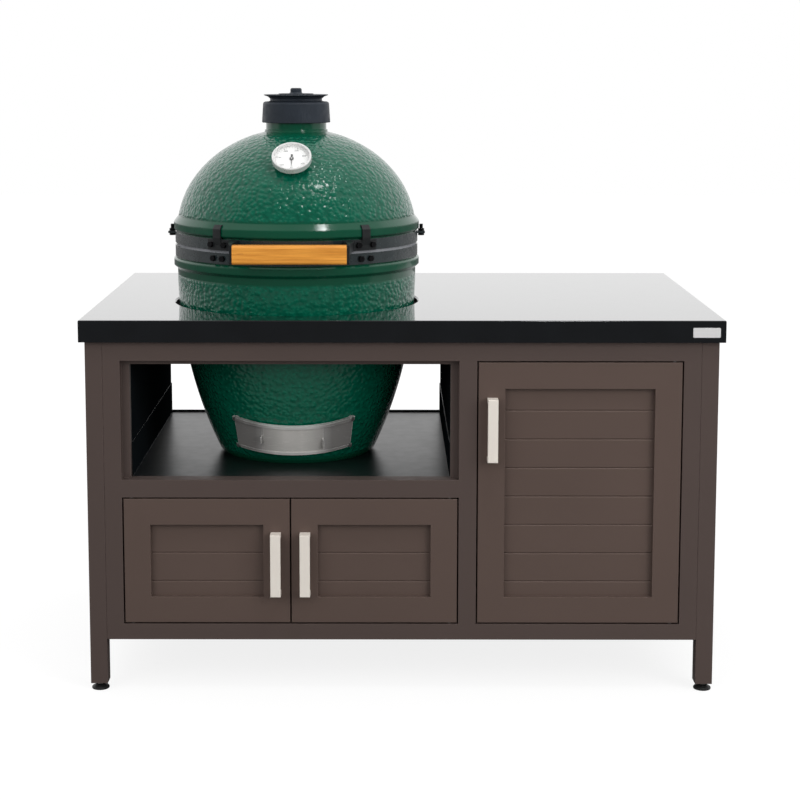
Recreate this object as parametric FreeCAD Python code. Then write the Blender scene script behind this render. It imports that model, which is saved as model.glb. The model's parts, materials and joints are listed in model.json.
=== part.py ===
import FreeCAD, Part
import math
import os
from FreeCAD import Vector

# Kamado grill table. Millimetres, +Z up, floor at Z = 0, front of the table towards -Y.
# X = 0 and Y = 0 are the middle of the countertop.

# Countertop: a slab with a thicker built-up border
TOP_WIDTH = 1372.0
TOP_DEPTH = 864.0
TOP_HEIGHT = 814.0
TOP_THICKNESS = 47.0
TOP_SLAB = 20.0
TOP_BORDER = 52.0
TOP_EDGE_ROUND = 3.0
TOP_OVERHANG = 12.0
HOLE_GAP = 5.0
HOLE_COLLAR = 28.0
EDGE_PLATE_WIDTH = 58.0
EDGE_PLATE_HEIGHT = 21.0
EDGE_PLATE_THICKNESS = 1.2
EDGE_PLATE_INSET = 12.5

# Frame of square tube
LEG = 36.5
LEG_WALL = 2.5
FRAME_DEPTH = 38.0
SEAM = 0.5
TOP_RAIL = 41.5
BOTTOM_RAIL = 34.6
BOTTOM_RAIL_UNDERSIDE = 114.9
MID_RAIL = 38.3
BAY_DEPTH = 347.0
END_STILE = 37.0
MID_STILE = 38.0
MID_STILE_CENTRE = 141.5
BAY_LIP = 17.5
BAY_TOP_LIP = 10.0
LIP_SETBACK = 20.0

# Levelling feet
FOOT_HEIGHT = 16.0
FOOT_RADIUS = 19.0
FOOT_RIM = 5.0
FOOT_NECK_RADIUS = 8.0
FOOT_STEM_RADIUS = 5.0
FOOT_STEM_LENGTH = 42.0
REST_GAP = 0.3
RUN_CLEARANCE = 0.05

# Sheet-metal carcass
SHEET = 2.0
CARCASS_REAR_INSET = 44.0
SHELF_UPSTAND = 75.0
SHELF_REAR_LIP = 5.0
FLOOR_FLANGE = 25.0
CABINET_SHELF_HEIGHT = 438.0
CABINET_SHELF_FLANGE = 22.0
CABINET_SHELF_SIDE_GAP = 1.5
CABINET_SHELF_FRONT_GAP = 24.0
SHELF_PIN_RADIUS = 4.0
SHELF_PIN_LENGTH = 16.0
SHELF_PIN_INSET = 60.0

# Slatted panels: shared by the doors and the sides
SLAT_PITCH = 62.5
SLAT_BASE = 241.5
GROOVE_WIDTH = 4.0
GROOVE_DEPTH = 1.8
PANEL_THICKNESS = 5.0
PANEL_RECESS = 12.0
PANEL_TONGUE = 6.0

# Doors
DOOR_GAP = 3.0
DOOR_THICKNESS = 18.0
DOOR_MEMBER = 57.0
DOOR_EDGE_ROUND = 1.5
PIVOT_INSET = 16.0
PIVOT_RADIUS = 4.0
PIVOT_REACH = 14.0
PULL_WIDTH = 22.0
PULL_HEIGHT = 136.0
PULL_BAR = 6.0
PULL_FOOT = 9.0
PULL_STANDOFF = 28.0
PULL_FROM_EDGE = 30.0
PULL_ROUND = 1.5
SMALL_PULL_DROP = 141.2
CABINET_PULL_DROP = 144.0
CATCH_WIDTH = 46.0
CATCH_HEIGHT = 14.0
CATCH_DEPTH = 16.0

# Kamado: place and outline
EGG_X = -238.0
EGG_Y = -88.0
CERAMIC_WALL = 25.0
FOOT_RING_RADIUS = 170.0
BOWL_CORNER = 9.0
BOWL_LOW_RADIUS = 179.0
BOWL_MID_RADIUS = 232.5
BOWL_MID_HEIGHT = 149.0
BOWL_TOP_RADIUS = 271.5
BOWL_TOP_HEIGHT = 400.0
BOWL_FLOOR = 28.0
BOWL_INNER_STEPS = 3
REBATE_RADIUS = 272.0
RIM_RADIUS = 279.5
SEAL_RISE = 481.0
GASKET = 3.0
GASKET_WIDTH = 22.0
BAND_HEIGHT = 24.0
BAND_THICKNESS = 4.0
RIM_SHOULDER = 3.0
LOWER_RIM_HEIGHT = 25.0
UPPER_RIM_HEIGHT = 26.0
RIM_BLEND = 7.0
DOME_CENTRE_RISE = 28.0
DOME_SPAN = 272.0
DOME_RISE = 231.0
DOME_INNER_STEPS = 5
NECK_RADIUS = 68.6
NECK_ROOT_RADIUS = 78.0
NECK_BEAD_RADIUS = 71.5
NECK_RISE = 292.0
CHIMNEY_RADIUS = 48.0

# Fire parts inside the bowl
FIREBOX_WALL = 20.0
FIREBOX_FOOT_RADIUS = 135.0
FIREBOX_TOP_RADIUS = 218.0
FIREBOX_HEIGHT = 240.0
FIREBOX_FLOOR = 40.0
FIREBOX_HOLE_RADIUS = 80.0
FIREBOX_AIR_HOLES = 4
FIREBOX_AIR_HOLE_RADIUS = 11.0
FIREBOX_NOTCH_WIDTH = 90.0
FIREBOX_NOTCH_HEIGHT = 30.0
FIRE_RING_RADIUS = 226.0
FIRE_RING_HEIGHT = 168.0
GRATE_RADIUS = 104.0
GRATE_THICKNESS = 8.0
GRATE_SLOTS = 9
GRATE_SLOT_WIDTH = 9.0
GRID_RADIUS = 229.0
GRID_RING_ROD = 3.5
GRID_ROD = 2.5
GRID_RODS = 17
GRID_CROSS_OFFSET = 110.0

# Draft door: a slide that turns about an axis square to the slope of the bowl
DRAFT_RISE = 63.0
DRAFT_HALF = 37.0
DRAFT_END_ANGLE = 36.5
DRAFT_LOW_END_ANGLE = 33.8
DRAFT_STANDOFF = 4.0
DRAFT_PLATE = 1.5
DRAFT_LAYER_GAP = 0.8
DRAFT_LEAF = 1.0
DRAFT_LIP = 7.0
DRAFT_DOOR_ANGLE = 17.0
DRAFT_WINDOW_LEFT_ANGLE = -15.0
DRAFT_WINDOW_RIGHT_ANGLE = -1.0
DRAFT_WINDOW_HALF = 23.0
DRAFT_TAB_OUT = 9.0
DRAFT_TAB_HEIGHT = 22.0
SCREEN_RIGHT_ANGLE = 1.0
SCREEN_SLOTS = 5
SCREEN_SLOT_ANGLE = 1.3
DRAFT_BOSS_RADIUS = 4.0
DRAFT_BOSS_REACH = 18.0

# Handle and its brackets
HANDLE_LENGTH = 243.0
HANDLE_HEIGHT = 41.0
HANDLE_DEPTH = 28.0
HANDLE_ROUND = 7.0
HANDLE_CLEARANCE = 26.0
HANDLE_LIFT = -12.5
BRACKET_PLATE = 6.0
BRACKET_HEIGHT = 23.0
BRACKET_WEB = 7.0
BRACKET_NEAR_ANGLE = 24.0
BRACKET_FAR_ANGLE = 40.8
BRACKET_ROOT_ANGLE = 5.0
BRACKET_HOOK = 2.0
BRACKET_STRAP_ANGLE = 35.0
BRACKET_STRAP_WIDTH = 20.0
BRACKET_THICKNESS = 4.0
SPIGOT_RADIUS = 6.0
SPIGOT_LENGTH = 10.0

# Bolts
BOLT_HEAD_RADIUS = 7.0
BOLT_HEAD = 5.5
BOLT_FROM_EDGE = 12.0
BOLT_SHANK_RADIUS = 4.0
SMALL_BOLT_RADIUS = 4.2
SMALL_BOLT_HEAD = 3.0
BOLT_SPREAD_ANGLE = 3.7
LOWER_BOLT_ANGLE = 35.5
LOWER_BOLT_SPREAD_ANGLE = 2.6
LUG_REACH = 17.0
LUG_WIDTH = 24.0
LUG_THICKNESS = 5.0
LUG_BOLT_LENGTH = 26.0

# Rear hinge of the dome
HINGE_BACK = 62.0
HINGE_PIN_RADIUS = 5.0
HINGE_HALF = 62.0
HINGE_PLATE = 5.0
HINGE_BOSS_RADIUS = 14.0
HINGE_SIDE_PLAY = 0.5
HINGE_FOOT_ANGLE = 15.0
SPRING_WIRE_RADIUS = 2.0
SPRING_WIRE_SIDES = 6
SPRING_TURNS = 3.5
SPRING_PITCH = 7.0
SPRING_START = 12.0
SPRING_LEG = 54.0

# Thermometer on the dome
THERMO_RISE = 160.5
THERMO_RADIUS = 43.0
THERMO_WALL = 2.5
THERMO_DEPTH = 14.0
THERMO_STANDOFF = 11.0
THERMO_BEZEL = 4.5
THERMO_BEZEL_THICKNESS = 2.0
THERMO_STEM_RADIUS = 4.0
THERMO_STEM_LENGTH = 100.0
THERMO_COLLAR_RADIUS = 11.0
DIAL_THICKNESS = 0.8
LENS_THICKNESS = 2.0
POINTER_LENGTH = 29.0
POINTER_TAIL = 13.0
POINTER_WIDTH = 2.4
POINTER_TAIL_WIDTH = 5.0
POINTER_THICKNESS = 0.8
POINTER_HUB_RADIUS = 4.5
POINTER_PIVOT_RADIUS = 1.5

# Vent cap on the neck
CAP_SKIRT = 20.0
CAP_HEIGHT = 27.0
CAP_LOW_RADIUS = 77.5
CAP_TOP_RADIUS = 75.0
CAP_ROUND = 5.0
CAP_BORE_CLEARANCE = 0.4
COLLAR_RADIUS = 64.0
COLLAR_WAIST = 59.0
COLLAR_HEIGHT = 11.0
LID_RADIUS = 72.7
LID_THICKNESS = 4.6
LID_PIVOT_OFFSET = 56.0
LID_PIVOT_RADIUS = 4.0
LID_PIVOT_HEAD_RADIUS = 7.0
LID_PIVOT_HEAD = 2.5
VENT_HOLES = 6
VENT_HOLE_RADIUS = 6.2
VENT_HOLE_CIRCLE = 27.0
DIAL_PLATE_RADIUS = 40.0
DIAL_PLATE_THICKNESS = 2.0
KNOB_BASE_RADIUS = 15.5
KNOB_TOP_RADIUS = 13.0
KNOB_ROUND = 3.5
KNOB_HEIGHT = 12.3
DIAL_PIN_RADIUS = 3.0
DIAL_PIN_HEIGHT = 9.0

# Places that follow from the sizes above
TOP_UNDERSIDE = TOP_HEIGHT - TOP_THICKNESS
MID_RAIL_TOP = TOP_HEIGHT - BAY_DEPTH
FRAME_X = TOP_WIDTH / 2 - TOP_OVERHANG
FRAME_Y = TOP_DEPTH / 2 - TOP_OVERHANG
FACE_BACK = -FRAME_Y + FRAME_DEPTH
FACE_X = FRAME_X - LEG - SEAM
REAR_FACE = FRAME_Y - LEG
FLOOR_TOP = BOTTOM_RAIL_UNDERSIDE + BOTTOM_RAIL
MID_RAIL_UNDERSIDE = MID_RAIL_TOP - MID_RAIL
TOP_RAIL_UNDERSIDE = TOP_UNDERSIDE - TOP_RAIL
BAY_LEFT = -FACE_X + END_STILE
BAY_RIGHT = MID_STILE_CENTRE - MID_STILE / 2
CABINET_LEFT = MID_STILE_CENTRE + MID_STILE / 2
CABINET_RIGHT = FACE_X - END_STILE
WALL_LEFT = BAY_LEFT + BAY_LIP
WALL_MID_LEFT = BAY_RIGHT - BAY_LIP
WALL_MID_RIGHT = CABINET_LEFT + BAY_LIP
WALL_RIGHT = CABINET_RIGHT - BAY_LIP
CARCASS_REAR = REAR_FACE - CARCASS_REAR_INSET
PIVOT_Y = -FRAME_Y + DOOR_THICKNESS / 2
BOWL_BOTTOM = MID_RAIL_TOP
SEAL_HEIGHT = BOWL_BOTTOM + SEAL_RISE
BASE_TOP = SEAL_HEIGHT - GASKET
DOME_BOTTOM = SEAL_HEIGHT + REST_GAP + GASKET
DOME_CENTRE_HEIGHT = SEAL_HEIGHT + DOME_CENTRE_RISE
NECK_TOP = SEAL_HEIGHT + NECK_RISE
CAP_BOTTOM = NECK_TOP - CAP_SKIRT
CAP_SHOULDER = NECK_TOP + CAP_HEIGHT
COLLAR_TOP = CAP_SHOULDER + COLLAR_HEIGHT
FIREBOX_TOP = BOWL_BOTTOM + BOWL_FLOOR + FIREBOX_HEIGHT
FIRE_RING_TOP = FIREBOX_TOP + FIRE_RING_HEIGHT
DRAFT_HEIGHT = BOWL_BOTTOM + DRAFT_RISE
INNER_RADIUS = REBATE_RADIUS - CERAMIC_WALL
BAND_RADIUS = REBATE_RADIUS + REST_GAP
BAND_FACE = BAND_RADIUS + BAND_THICKNESS
LOWER_BAND_BOTTOM = BASE_TOP - BAND_HEIGHT
UPPER_BAND_TOP = DOME_BOTTOM + BAND_HEIGHT
UPPER_RIM_BOTTOM = UPPER_BAND_TOP + RIM_SHOULDER
UPPER_RIM_TOP = UPPER_RIM_BOTTOM + UPPER_RIM_HEIGHT
LOWER_RIM_TOP = LOWER_BAND_BOTTOM - RIM_SHOULDER
HINGE_Y = EGG_Y + BAND_FACE + HINGE_BACK
HINGE_Z = SEAL_HEIGHT
SPRING_RADIUS = HINGE_PIN_RADIUS + REST_GAP + SPRING_WIRE_RADIUS
EGG = Vector(EGG_X, EGG_Y, 0)
UP = Vector(0, 0, 1)


# General helpers

def box(x0, x1, y0, y1, z0, z1):
    return Part.makeBox(x1 - x0, y1 - y0, z1 - z0, Vector(x0, y0, z0))


def disc(radius, z0, z1, centre=EGG):
    return Part.makeCylinder(radius, z1 - z0, Vector(centre.x, centre.y, z0), UP)


def ring(inner, outer, z0, z1, centre=EGG):
    return disc(outer, z0, z1, centre).cut(disc(inner, z0 - 1, z1 + 1, centre))


def fused(first, others):
    solid = first
    for other in others:
        solid = solid.fuse(other)
    return solid.removeSplitter()


def cut_all(solid, tools):
    for tool in tools:
        solid = solid.cut(tool)
    return solid


def section(start, steps):
    """A closed face in the XZ plane. A step is a point, or (middle, end) of an arc."""
    edges = []
    here = Vector(start[0], 0, start[1])
    for step in steps:
        if isinstance(step[0], tuple):
            middle = Vector(step[0][0], 0, step[0][1])
            there = Vector(step[1][0], 0, step[1][1])
            edges.append(Part.Arc(here, middle, there).toShape())
        else:
            there = Vector(step[0], 0, step[1])
            edges.append(Part.LineSegment(here, there).toShape())
        here = there
    edges.append(Part.LineSegment(here, Vector(start[0], 0, start[1])).toShape())
    return Part.Face(Part.Wire(edges))


def turned(face, centre=EGG, sweep=360.0, start=0.0):
    """Turns an XZ section about the vertical line through centre, from angle start."""
    solid = face.copy()
    solid.rotate(Vector(0, 0, 0), UP, start)
    solid = solid.revolve(Vector(0, 0, 0), UP, sweep)
    solid.translate(Vector(centre.x, centre.y, 0))
    return solid


def about_egg(shape, angle):
    """The shape turned about the kamado's axis. 0 faces the front, positive goes right."""
    copy = shape.copy()
    copy.rotate(EGG, UP, angle)
    return copy


def prism(points, height):
    """A closed polygon of 3-D points, extruded along a vector."""
    wire = Part.makePolygon(points + [points[0]])
    return Part.Face(wire).extrude(height)


def hexagon(radius, base, direction, length):
    """A hexagonal head that stands on base along direction."""
    side = direction.cross(UP)
    if side.Length < 0.1:
        side = Vector(1, 0, 0)
    side.normalize()
    other = direction.cross(side)
    points = []
    for k in range(6):
        turn = math.radians(60 * k)
        points.append(base + side * (radius * math.cos(turn)) + other * (radius * math.sin(turn)))
    return prism(points, direction * length)


def save(name, shape):
    shape.exportStep("parts/" + name + ".step")


def group(shapes):
    return Part.makeCompound(shapes)


# Countertop

def countertop():
    half_x = TOP_WIDTH / 2
    half_y = TOP_DEPTH / 2
    slab = box(-half_x, half_x, -half_y, half_y, TOP_UNDERSIDE, TOP_HEIGHT)
    outer = [e for e in slab.Edges if e.BoundBox.ZMax > TOP_UNDERSIDE + TOP_EDGE_ROUND]
    slab = slab.makeFillet(TOP_EDGE_ROUND, outer)
    recess = box(
        -half_x + TOP_BORDER, half_x - TOP_BORDER, -half_y + TOP_BORDER, half_y - TOP_BORDER,
        TOP_UNDERSIDE - 1, TOP_HEIGHT - TOP_SLAB)
    hole_radius = REBATE_RADIUS + HOLE_GAP
    collar = disc(hole_radius + HOLE_COLLAR, TOP_UNDERSIDE - 2, TOP_HEIGHT)
    slab = slab.cut(recess.cut(collar))
    hole = disc(hole_radius, TOP_UNDERSIDE - 1, TOP_HEIGHT + 1)
    lead = Part.makeCone(
        hole_radius, hole_radius + TOP_EDGE_ROUND, TOP_EDGE_ROUND,
        Vector(EGG_X, EGG_Y, TOP_HEIGHT - TOP_EDGE_ROUND), UP)
    return slab.cut(hole).cut(lead)


def edge_plate():
    right = TOP_WIDTH / 2 - EDGE_PLATE_INSET
    front = -TOP_DEPTH / 2
    middle = TOP_HEIGHT - TOP_THICKNESS / 2 - 2
    plate = box(
        right - EDGE_PLATE_WIDTH, right, front - EDGE_PLATE_THICKNESS, front,
        middle - EDGE_PLATE_HEIGHT / 2, middle + EDGE_PLATE_HEIGHT / 2)
    corners = [e for e in plate.Edges if abs(e.BoundBox.YLength - EDGE_PLATE_THICKNESS) < 0.01]
    return plate.makeFillet(2.0, corners)


# Frame

def leg(sign_x, sign_y):
    x0, x1 = sorted((sign_x * (FRAME_X - LEG), sign_x * FRAME_X))
    y0, y1 = sorted((sign_y * (FRAME_Y - LEG), sign_y * FRAME_Y))
    tube = box(x0, x1, y0, y1, FOOT_HEIGHT, TOP_UNDERSIDE)
    hollow = box(
        x0 + LEG_WALL, x1 - LEG_WALL, y0 + LEG_WALL, y1 - LEG_WALL,
        FOOT_HEIGHT + 2 * LEG_WALL, TOP_UNDERSIDE + 1)
    middle = Vector((x0 + x1) / 2, (y0 + y1) / 2, 0)
    socket = disc(FOOT_STEM_RADIUS + RUN_CLEARANCE, FOOT_HEIGHT - 1, FOOT_HEIGHT + 3 * LEG_WALL, middle)
    return tube.cut(hollow).cut(socket)


def face_frame():
    y0 = -FRAME_Y
    y1 = FACE_BACK
    frame = box(-FACE_X, FACE_X, y0, y1, BOTTOM_RAIL_UNDERSIDE, TOP_UNDERSIDE)
    bay_front = box(BAY_LEFT, BAY_RIGHT, y0 - 1, y0 + LIP_SETBACK, MID_RAIL_TOP, TOP_RAIL_UNDERSIDE)
    bay_rear = box(
        WALL_LEFT, WALL_MID_LEFT, y0 + LIP_SETBACK - 1, y1 + 1,
        MID_RAIL_TOP, TOP_RAIL_UNDERSIDE - BAY_TOP_LIP)
    small = box(BAY_LEFT, BAY_RIGHT, y0 - 1, y1 + 1, FLOOR_TOP, MID_RAIL_UNDERSIDE)
    large = box(CABINET_LEFT, CABINET_RIGHT, y0 - 1, y1 + 1, FLOOR_TOP, TOP_RAIL_UNDERSIDE)
    frame = cut_all(frame, [bay_front, bay_rear, small, large])
    for x, z0, z1 in pivots():
        frame = frame.cut(pivot_rod(x, z0 - PIVOT_REACH, z0, PIVOT_RADIUS))
        frame = frame.cut(pivot_rod(x, z1, z1 + PIVOT_REACH, PIVOT_RADIUS))
    return frame


def rear_frame():
    y0 = REAR_FACE
    y1 = FRAME_Y
    inner = FRAME_X - LEG
    low = box(-inner, inner, y0, y1, BOTTOM_RAIL_UNDERSIDE, FLOOR_TOP)
    high = box(-inner, inner, y0, y1, TOP_RAIL_UNDERSIDE, TOP_UNDERSIDE)
    stile = box(BAY_RIGHT, CABINET_LEFT, y0, y1, FLOOR_TOP, TOP_RAIL_UNDERSIDE)
    drop = MID_RAIL / 2
    middle = box(-inner, BAY_RIGHT, y0, y1, MID_RAIL_UNDERSIDE - drop, MID_RAIL_TOP - drop)
    return fused(leg(-1, 1), [leg(1, 1), low, high, stile, middle])


def side_rails():
    rails = []
    for sign in (-1, 1):
        x0, x1 = sorted((sign * (FRAME_X - LEG), sign * FRAME_X))
        for z0, z1 in ((BOTTOM_RAIL_UNDERSIDE, FLOOR_TOP), (TOP_RAIL_UNDERSIDE, TOP_UNDERSIDE)):
            rails.append(box(x0, x1, -REAR_FACE, REAR_FACE, z0, z1))
    return group(rails)


def groove_levels(z0, z1):
    levels = []
    level = SLAT_BASE
    while level < z1 - 2 * GROOVE_WIDTH:
        if level > z0 + 2 * GROOVE_WIDTH:
            levels.append(level)
        level += SLAT_PITCH
    return levels


def groove_front(x0, x1, front, level):
    """A V groove along X in a face that looks to -Y."""
    half = GROOVE_WIDTH / 2
    points = [
        Vector(x0, front - 1, level - half - 1), Vector(x0, front, level - half),
        Vector(x0, front + GROOVE_DEPTH, level), Vector(x0, front, level + half),
        Vector(x0, front - 1, level + half + 1)]
    return prism(points, Vector(x1 - x0, 0, 0))


def side_panel(sign):
    """Slats between the side rails, in the plane of the legs, grooved on the outside."""
    half = REAR_FACE
    outer = FRAME_X - PANEL_RECESS
    z0 = FLOOR_TOP
    z1 = TOP_RAIL_UNDERSIDE
    panel = box(-half, half, -outer, -outer + PANEL_THICKNESS, z0, z1)
    for level in groove_levels(z0, z1):
        panel = panel.cut(groove_front(-half, half, -outer, level))
    panel.rotate(Vector(0, 0, 0), UP, 90 * sign)
    return panel


# Sheet-metal carcass

def outer_wall(sign):
    """Inner wall of an end bay: one sheet, folded outwards at the rear."""
    inner = -WALL_LEFT if sign < 0 else WALL_RIGHT
    reach = FRAME_X - LEG
    wall = box(inner, inner + SHEET, FACE_BACK, CARCASS_REAR, FLOOR_TOP, TOP_UNDERSIDE)
    fold = box(inner, reach, CARCASS_REAR - SHEET, CARCASS_REAR, FLOOR_TOP, TOP_UNDERSIDE)
    solid = fused(wall, [fold])
    if sign < 0:
        solid = solid.mirror(Vector(0, 0, 0), Vector(1, 0, 0))
    return solid


def partition():
    """Double wall between the bay and the tall cabinet, closed at the rear."""
    left = box(WALL_MID_LEFT, WALL_MID_LEFT + SHEET, FACE_BACK, CARCASS_REAR, FLOOR_TOP, TOP_UNDERSIDE)
    right = box(
        WALL_MID_RIGHT - SHEET, WALL_MID_RIGHT, FACE_BACK, CARCASS_REAR, FLOOR_TOP, TOP_UNDERSIDE)
    web = box(
        WALL_MID_LEFT, WALL_MID_RIGHT, CARCASS_REAR - SHEET, CARCASS_REAR, FLOOR_TOP, TOP_UNDERSIDE)
    return fused(left, [right, web])


def bay_shelf():
    """Pan under the kamado, with upstands screwed to the walls and a low rear lip."""
    y0 = FACE_BACK
    y1 = CARCASS_REAR
    pan = box(WALL_LEFT, WALL_MID_LEFT, y0, y1, MID_RAIL_TOP - SHEET, MID_RAIL_TOP)
    top = MID_RAIL_TOP + SHELF_UPSTAND
    left = box(WALL_LEFT, WALL_LEFT + SHEET, y0, y1, MID_RAIL_TOP - SHEET, top)
    right = box(WALL_MID_LEFT - SHEET, WALL_MID_LEFT, y0, y1, MID_RAIL_TOP - SHEET, top)
    lip = box(
        WALL_LEFT, WALL_MID_LEFT, y1 - SHEET, y1, MID_RAIL_TOP - FLOOR_FLANGE,
        MID_RAIL_TOP + SHELF_REAR_LIP)
    return fused(pan, [left, right, lip])


def cabinet_floor():
    """Floor of both cabinets: a sheet with a flange turned down all round."""
    x = FRAME_X - LEG
    y0 = FACE_BACK
    y1 = REAR_FACE
    outer = box(-x, x, y0, y1, FLOOR_TOP - FLOOR_FLANGE, FLOOR_TOP)
    inner = box(
        -x + SHEET, x - SHEET, y0 + SHEET, y1 - SHEET,
        FLOOR_TOP - FLOOR_FLANGE - 1, FLOOR_TOP - SHEET)
    return outer.cut(inner)


def back_panel():
    """Back of the low cabinet and of the tall one, in one L-shaped sheet."""
    x = FRAME_X - LEG
    y0 = CARCASS_REAR
    y1 = CARCASS_REAR + SHEET
    low = box(-x, WALL_MID_LEFT, y0, y1, FLOOR_TOP, MID_RAIL_TOP - FLOOR_FLANGE)
    tall = box(WALL_MID_LEFT, x, y0, y1, FLOOR_TOP, TOP_UNDERSIDE)
    return fused(low, [tall])


def cabinet_shelf():
    x0 = WALL_MID_RIGHT + CABINET_SHELF_SIDE_GAP
    x1 = WALL_RIGHT - CABINET_SHELF_SIDE_GAP
    y0 = FACE_BACK + CABINET_SHELF_FRONT_GAP
    y1 = CARCASS_REAR - CABINET_SHELF_SIDE_GAP
    z0 = CABINET_SHELF_HEIGHT
    z1 = z0 + CABINET_SHELF_FLANGE
    tray = box(x0, x1, y0, y1, z0, z1)
    hollow = box(x0 + SHEET, x1 - SHEET, y0 + SHEET, y1 - SHEET, z0 - 1, z1 - SHEET)
    tray = tray.cut(hollow)
    for x, _ in shelf_pin_places():
        for y in shelf_pin_depths():
            tray = tray.cut(Part.makeCylinder(
                SHELF_PIN_RADIUS, 2 * SHELF_PIN_LENGTH,
                Vector(x - SHELF_PIN_LENGTH, y, z0), Vector(1, 0, 0)))
    return tray


def shelf_pin_places():
    return ((WALL_MID_RIGHT, 1), (WALL_RIGHT, -1))


def shelf_pin_depths():
    return (FACE_BACK + CABINET_SHELF_FRONT_GAP + SHELF_PIN_INSET, CARCASS_REAR - SHELF_PIN_INSET)


def shelf_pins():
    pins = []
    for x, sign in shelf_pin_places():
        for y in shelf_pin_depths():
            pins.append(Part.makeCylinder(
                SHELF_PIN_RADIUS, SHELF_PIN_LENGTH,
                Vector(x, y, CABINET_SHELF_HEIGHT), Vector(sign, 0, 0)))
    return group(pins)


# Doors

def pivots():
    """X, lower and upper end of each door's hinge line."""
    return (
        (BAY_LEFT + DOOR_GAP + PIVOT_INSET, FLOOR_TOP, MID_RAIL_UNDERSIDE),
        (BAY_RIGHT - DOOR_GAP - PIVOT_INSET, FLOOR_TOP, MID_RAIL_UNDERSIDE),
        (CABINET_RIGHT - DOOR_GAP - PIVOT_INSET, FLOOR_TOP, TOP_RAIL_UNDERSIDE))


def pivot_rod(x, z0, z1, radius):
    return disc(radius, z0, z1, Vector(x, PIVOT_Y, 0))


def door_pins():
    """Pins held by the rails. The doors turn on them."""
    pins = []
    for x, z0, z1 in pivots():
        pins.append(pivot_rod(x, z0 - PIVOT_REACH, z0 + PIVOT_REACH, PIVOT_RADIUS))
        pins.append(pivot_rod(x, z1 - PIVOT_REACH, z1 + PIVOT_REACH, PIVOT_RADIUS))
    return group(pins)


def door_frame(x0, x1, z0, z1, pivot_x):
    front = -FRAME_Y
    back = front + DOOR_THICKNESS
    frame = box(x0, x1, front, back, z0, z1)
    frame = frame.makeFillet(
        DOOR_EDGE_ROUND, [e for e in frame.Edges if e.BoundBox.YMax < front + 0.01])
    window = box(
        x0 + DOOR_MEMBER, x1 - DOOR_MEMBER, front - 1, back + 1, z0 + DOOR_MEMBER, z1 - DOOR_MEMBER)
    frame = frame.cut(window).cut(door_panel_blank(x0, x1, z0, z1))
    hole = PIVOT_RADIUS + RUN_CLEARANCE
    deep = PIVOT_REACH + 1
    frame = frame.cut(pivot_rod(pivot_x, z0 - 1, z0 + deep, hole))
    return frame.cut(pivot_rod(pivot_x, z1 - deep, z1 + 1, hole))


def door_panel_blank(x0, x1, z0, z1):
    front = -FRAME_Y + PANEL_RECESS
    inset = DOOR_MEMBER - PANEL_TONGUE
    return box(x0 + inset, x1 - inset, front, front + PANEL_THICKNESS, z0 + inset, z1 - inset)


def door_panel(x0, x1, z0, z1):
    panel = door_panel_blank(x0, x1, z0, z1)
    front = -FRAME_Y + PANEL_RECESS
    for level in groove_levels(z0 + DOOR_MEMBER, z1 - DOOR_MEMBER):
        panel = panel.cut(groove_front(x0 + DOOR_MEMBER, x1 - DOOR_MEMBER, front, level))
    return panel


def pull(x, level):
    """Flat bar on two feet, screwed to the door's stile from behind."""
    front = -FRAME_Y - PULL_STANDOFF
    z0 = level - PULL_HEIGHT / 2
    z1 = level + PULL_HEIGHT / 2
    x0 = x - PULL_WIDTH / 2
    x1 = x + PULL_WIDTH / 2
    bar = box(x0, x1, front, -FRAME_Y, z0, z1)
    grip = box(x0 - 1, x1 + 1, front + PULL_BAR, -FRAME_Y + 1, z0 + PULL_FOOT, z1 - PULL_FOOT)
    bar = bar.cut(grip)
    edges = [e for e in bar.Edges if e.BoundBox.YMax < front + 0.01]
    return bar.makeFillet(PULL_ROUND, edges)


def small_door_spans():
    middle = (BAY_LEFT + BAY_RIGHT) / 2
    half = DOOR_GAP / 2
    return ((BAY_LEFT + DOOR_GAP, middle - half), (middle + half, BAY_RIGHT - DOOR_GAP))


def build_door(name, x0, x1, z0, z1, pivot_x, pull_x, pull_level):
    save(name + "_frame", door_frame(x0, x1, z0, z1, pivot_x))
    save(name + "_panel", door_panel(x0, x1, z0, z1))
    save(name + "_pull", pull(pull_x, pull_level))


def build_doors():
    z0 = FLOOR_TOP + DOOR_GAP
    z1 = MID_RAIL_UNDERSIDE - DOOR_GAP
    left_pivot, right_pivot, cabinet_pivot = [p[0] for p in pivots()]
    (a0, a1), (b0, b1) = small_door_spans()
    build_door("left_door", a0, a1, z0, z1, left_pivot, a1 - PULL_FROM_EDGE, z1 - SMALL_PULL_DROP)
    build_door("right_door", b0, b1, z0, z1, right_pivot, b0 + PULL_FROM_EDGE, z1 - SMALL_PULL_DROP)
    x0 = CABINET_LEFT + DOOR_GAP
    x1 = CABINET_RIGHT - DOOR_GAP
    top = TOP_RAIL_UNDERSIDE - DOOR_GAP
    level = top - CABINET_PULL_DROP
    build_door("cabinet_door", x0, x1, z0, top, cabinet_pivot, x0 + PULL_FROM_EDGE, level)


def door_catches():
    """Magnetic catches behind the free corners of the doors, which also stop them."""
    y0 = -FRAME_Y + DOOR_THICKNESS + REST_GAP
    y1 = y0 + CATCH_DEPTH
    middle = (BAY_LEFT + BAY_RIGHT) / 2
    x = CABINET_LEFT + DOOR_GAP
    catches = [
        box(middle - CATCH_WIDTH, middle + CATCH_WIDTH, y0, y1,
            MID_RAIL_UNDERSIDE - CATCH_HEIGHT, MID_RAIL_UNDERSIDE),
        box(x, x + CATCH_WIDTH, y0, y1, TOP_RAIL_UNDERSIDE - CATCH_HEIGHT, TOP_RAIL_UNDERSIDE),
        box(x, x + CATCH_WIDTH, y0, y1, FLOOR_TOP, FLOOR_TOP + CATCH_HEIGHT)]
    return group(catches)


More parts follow.
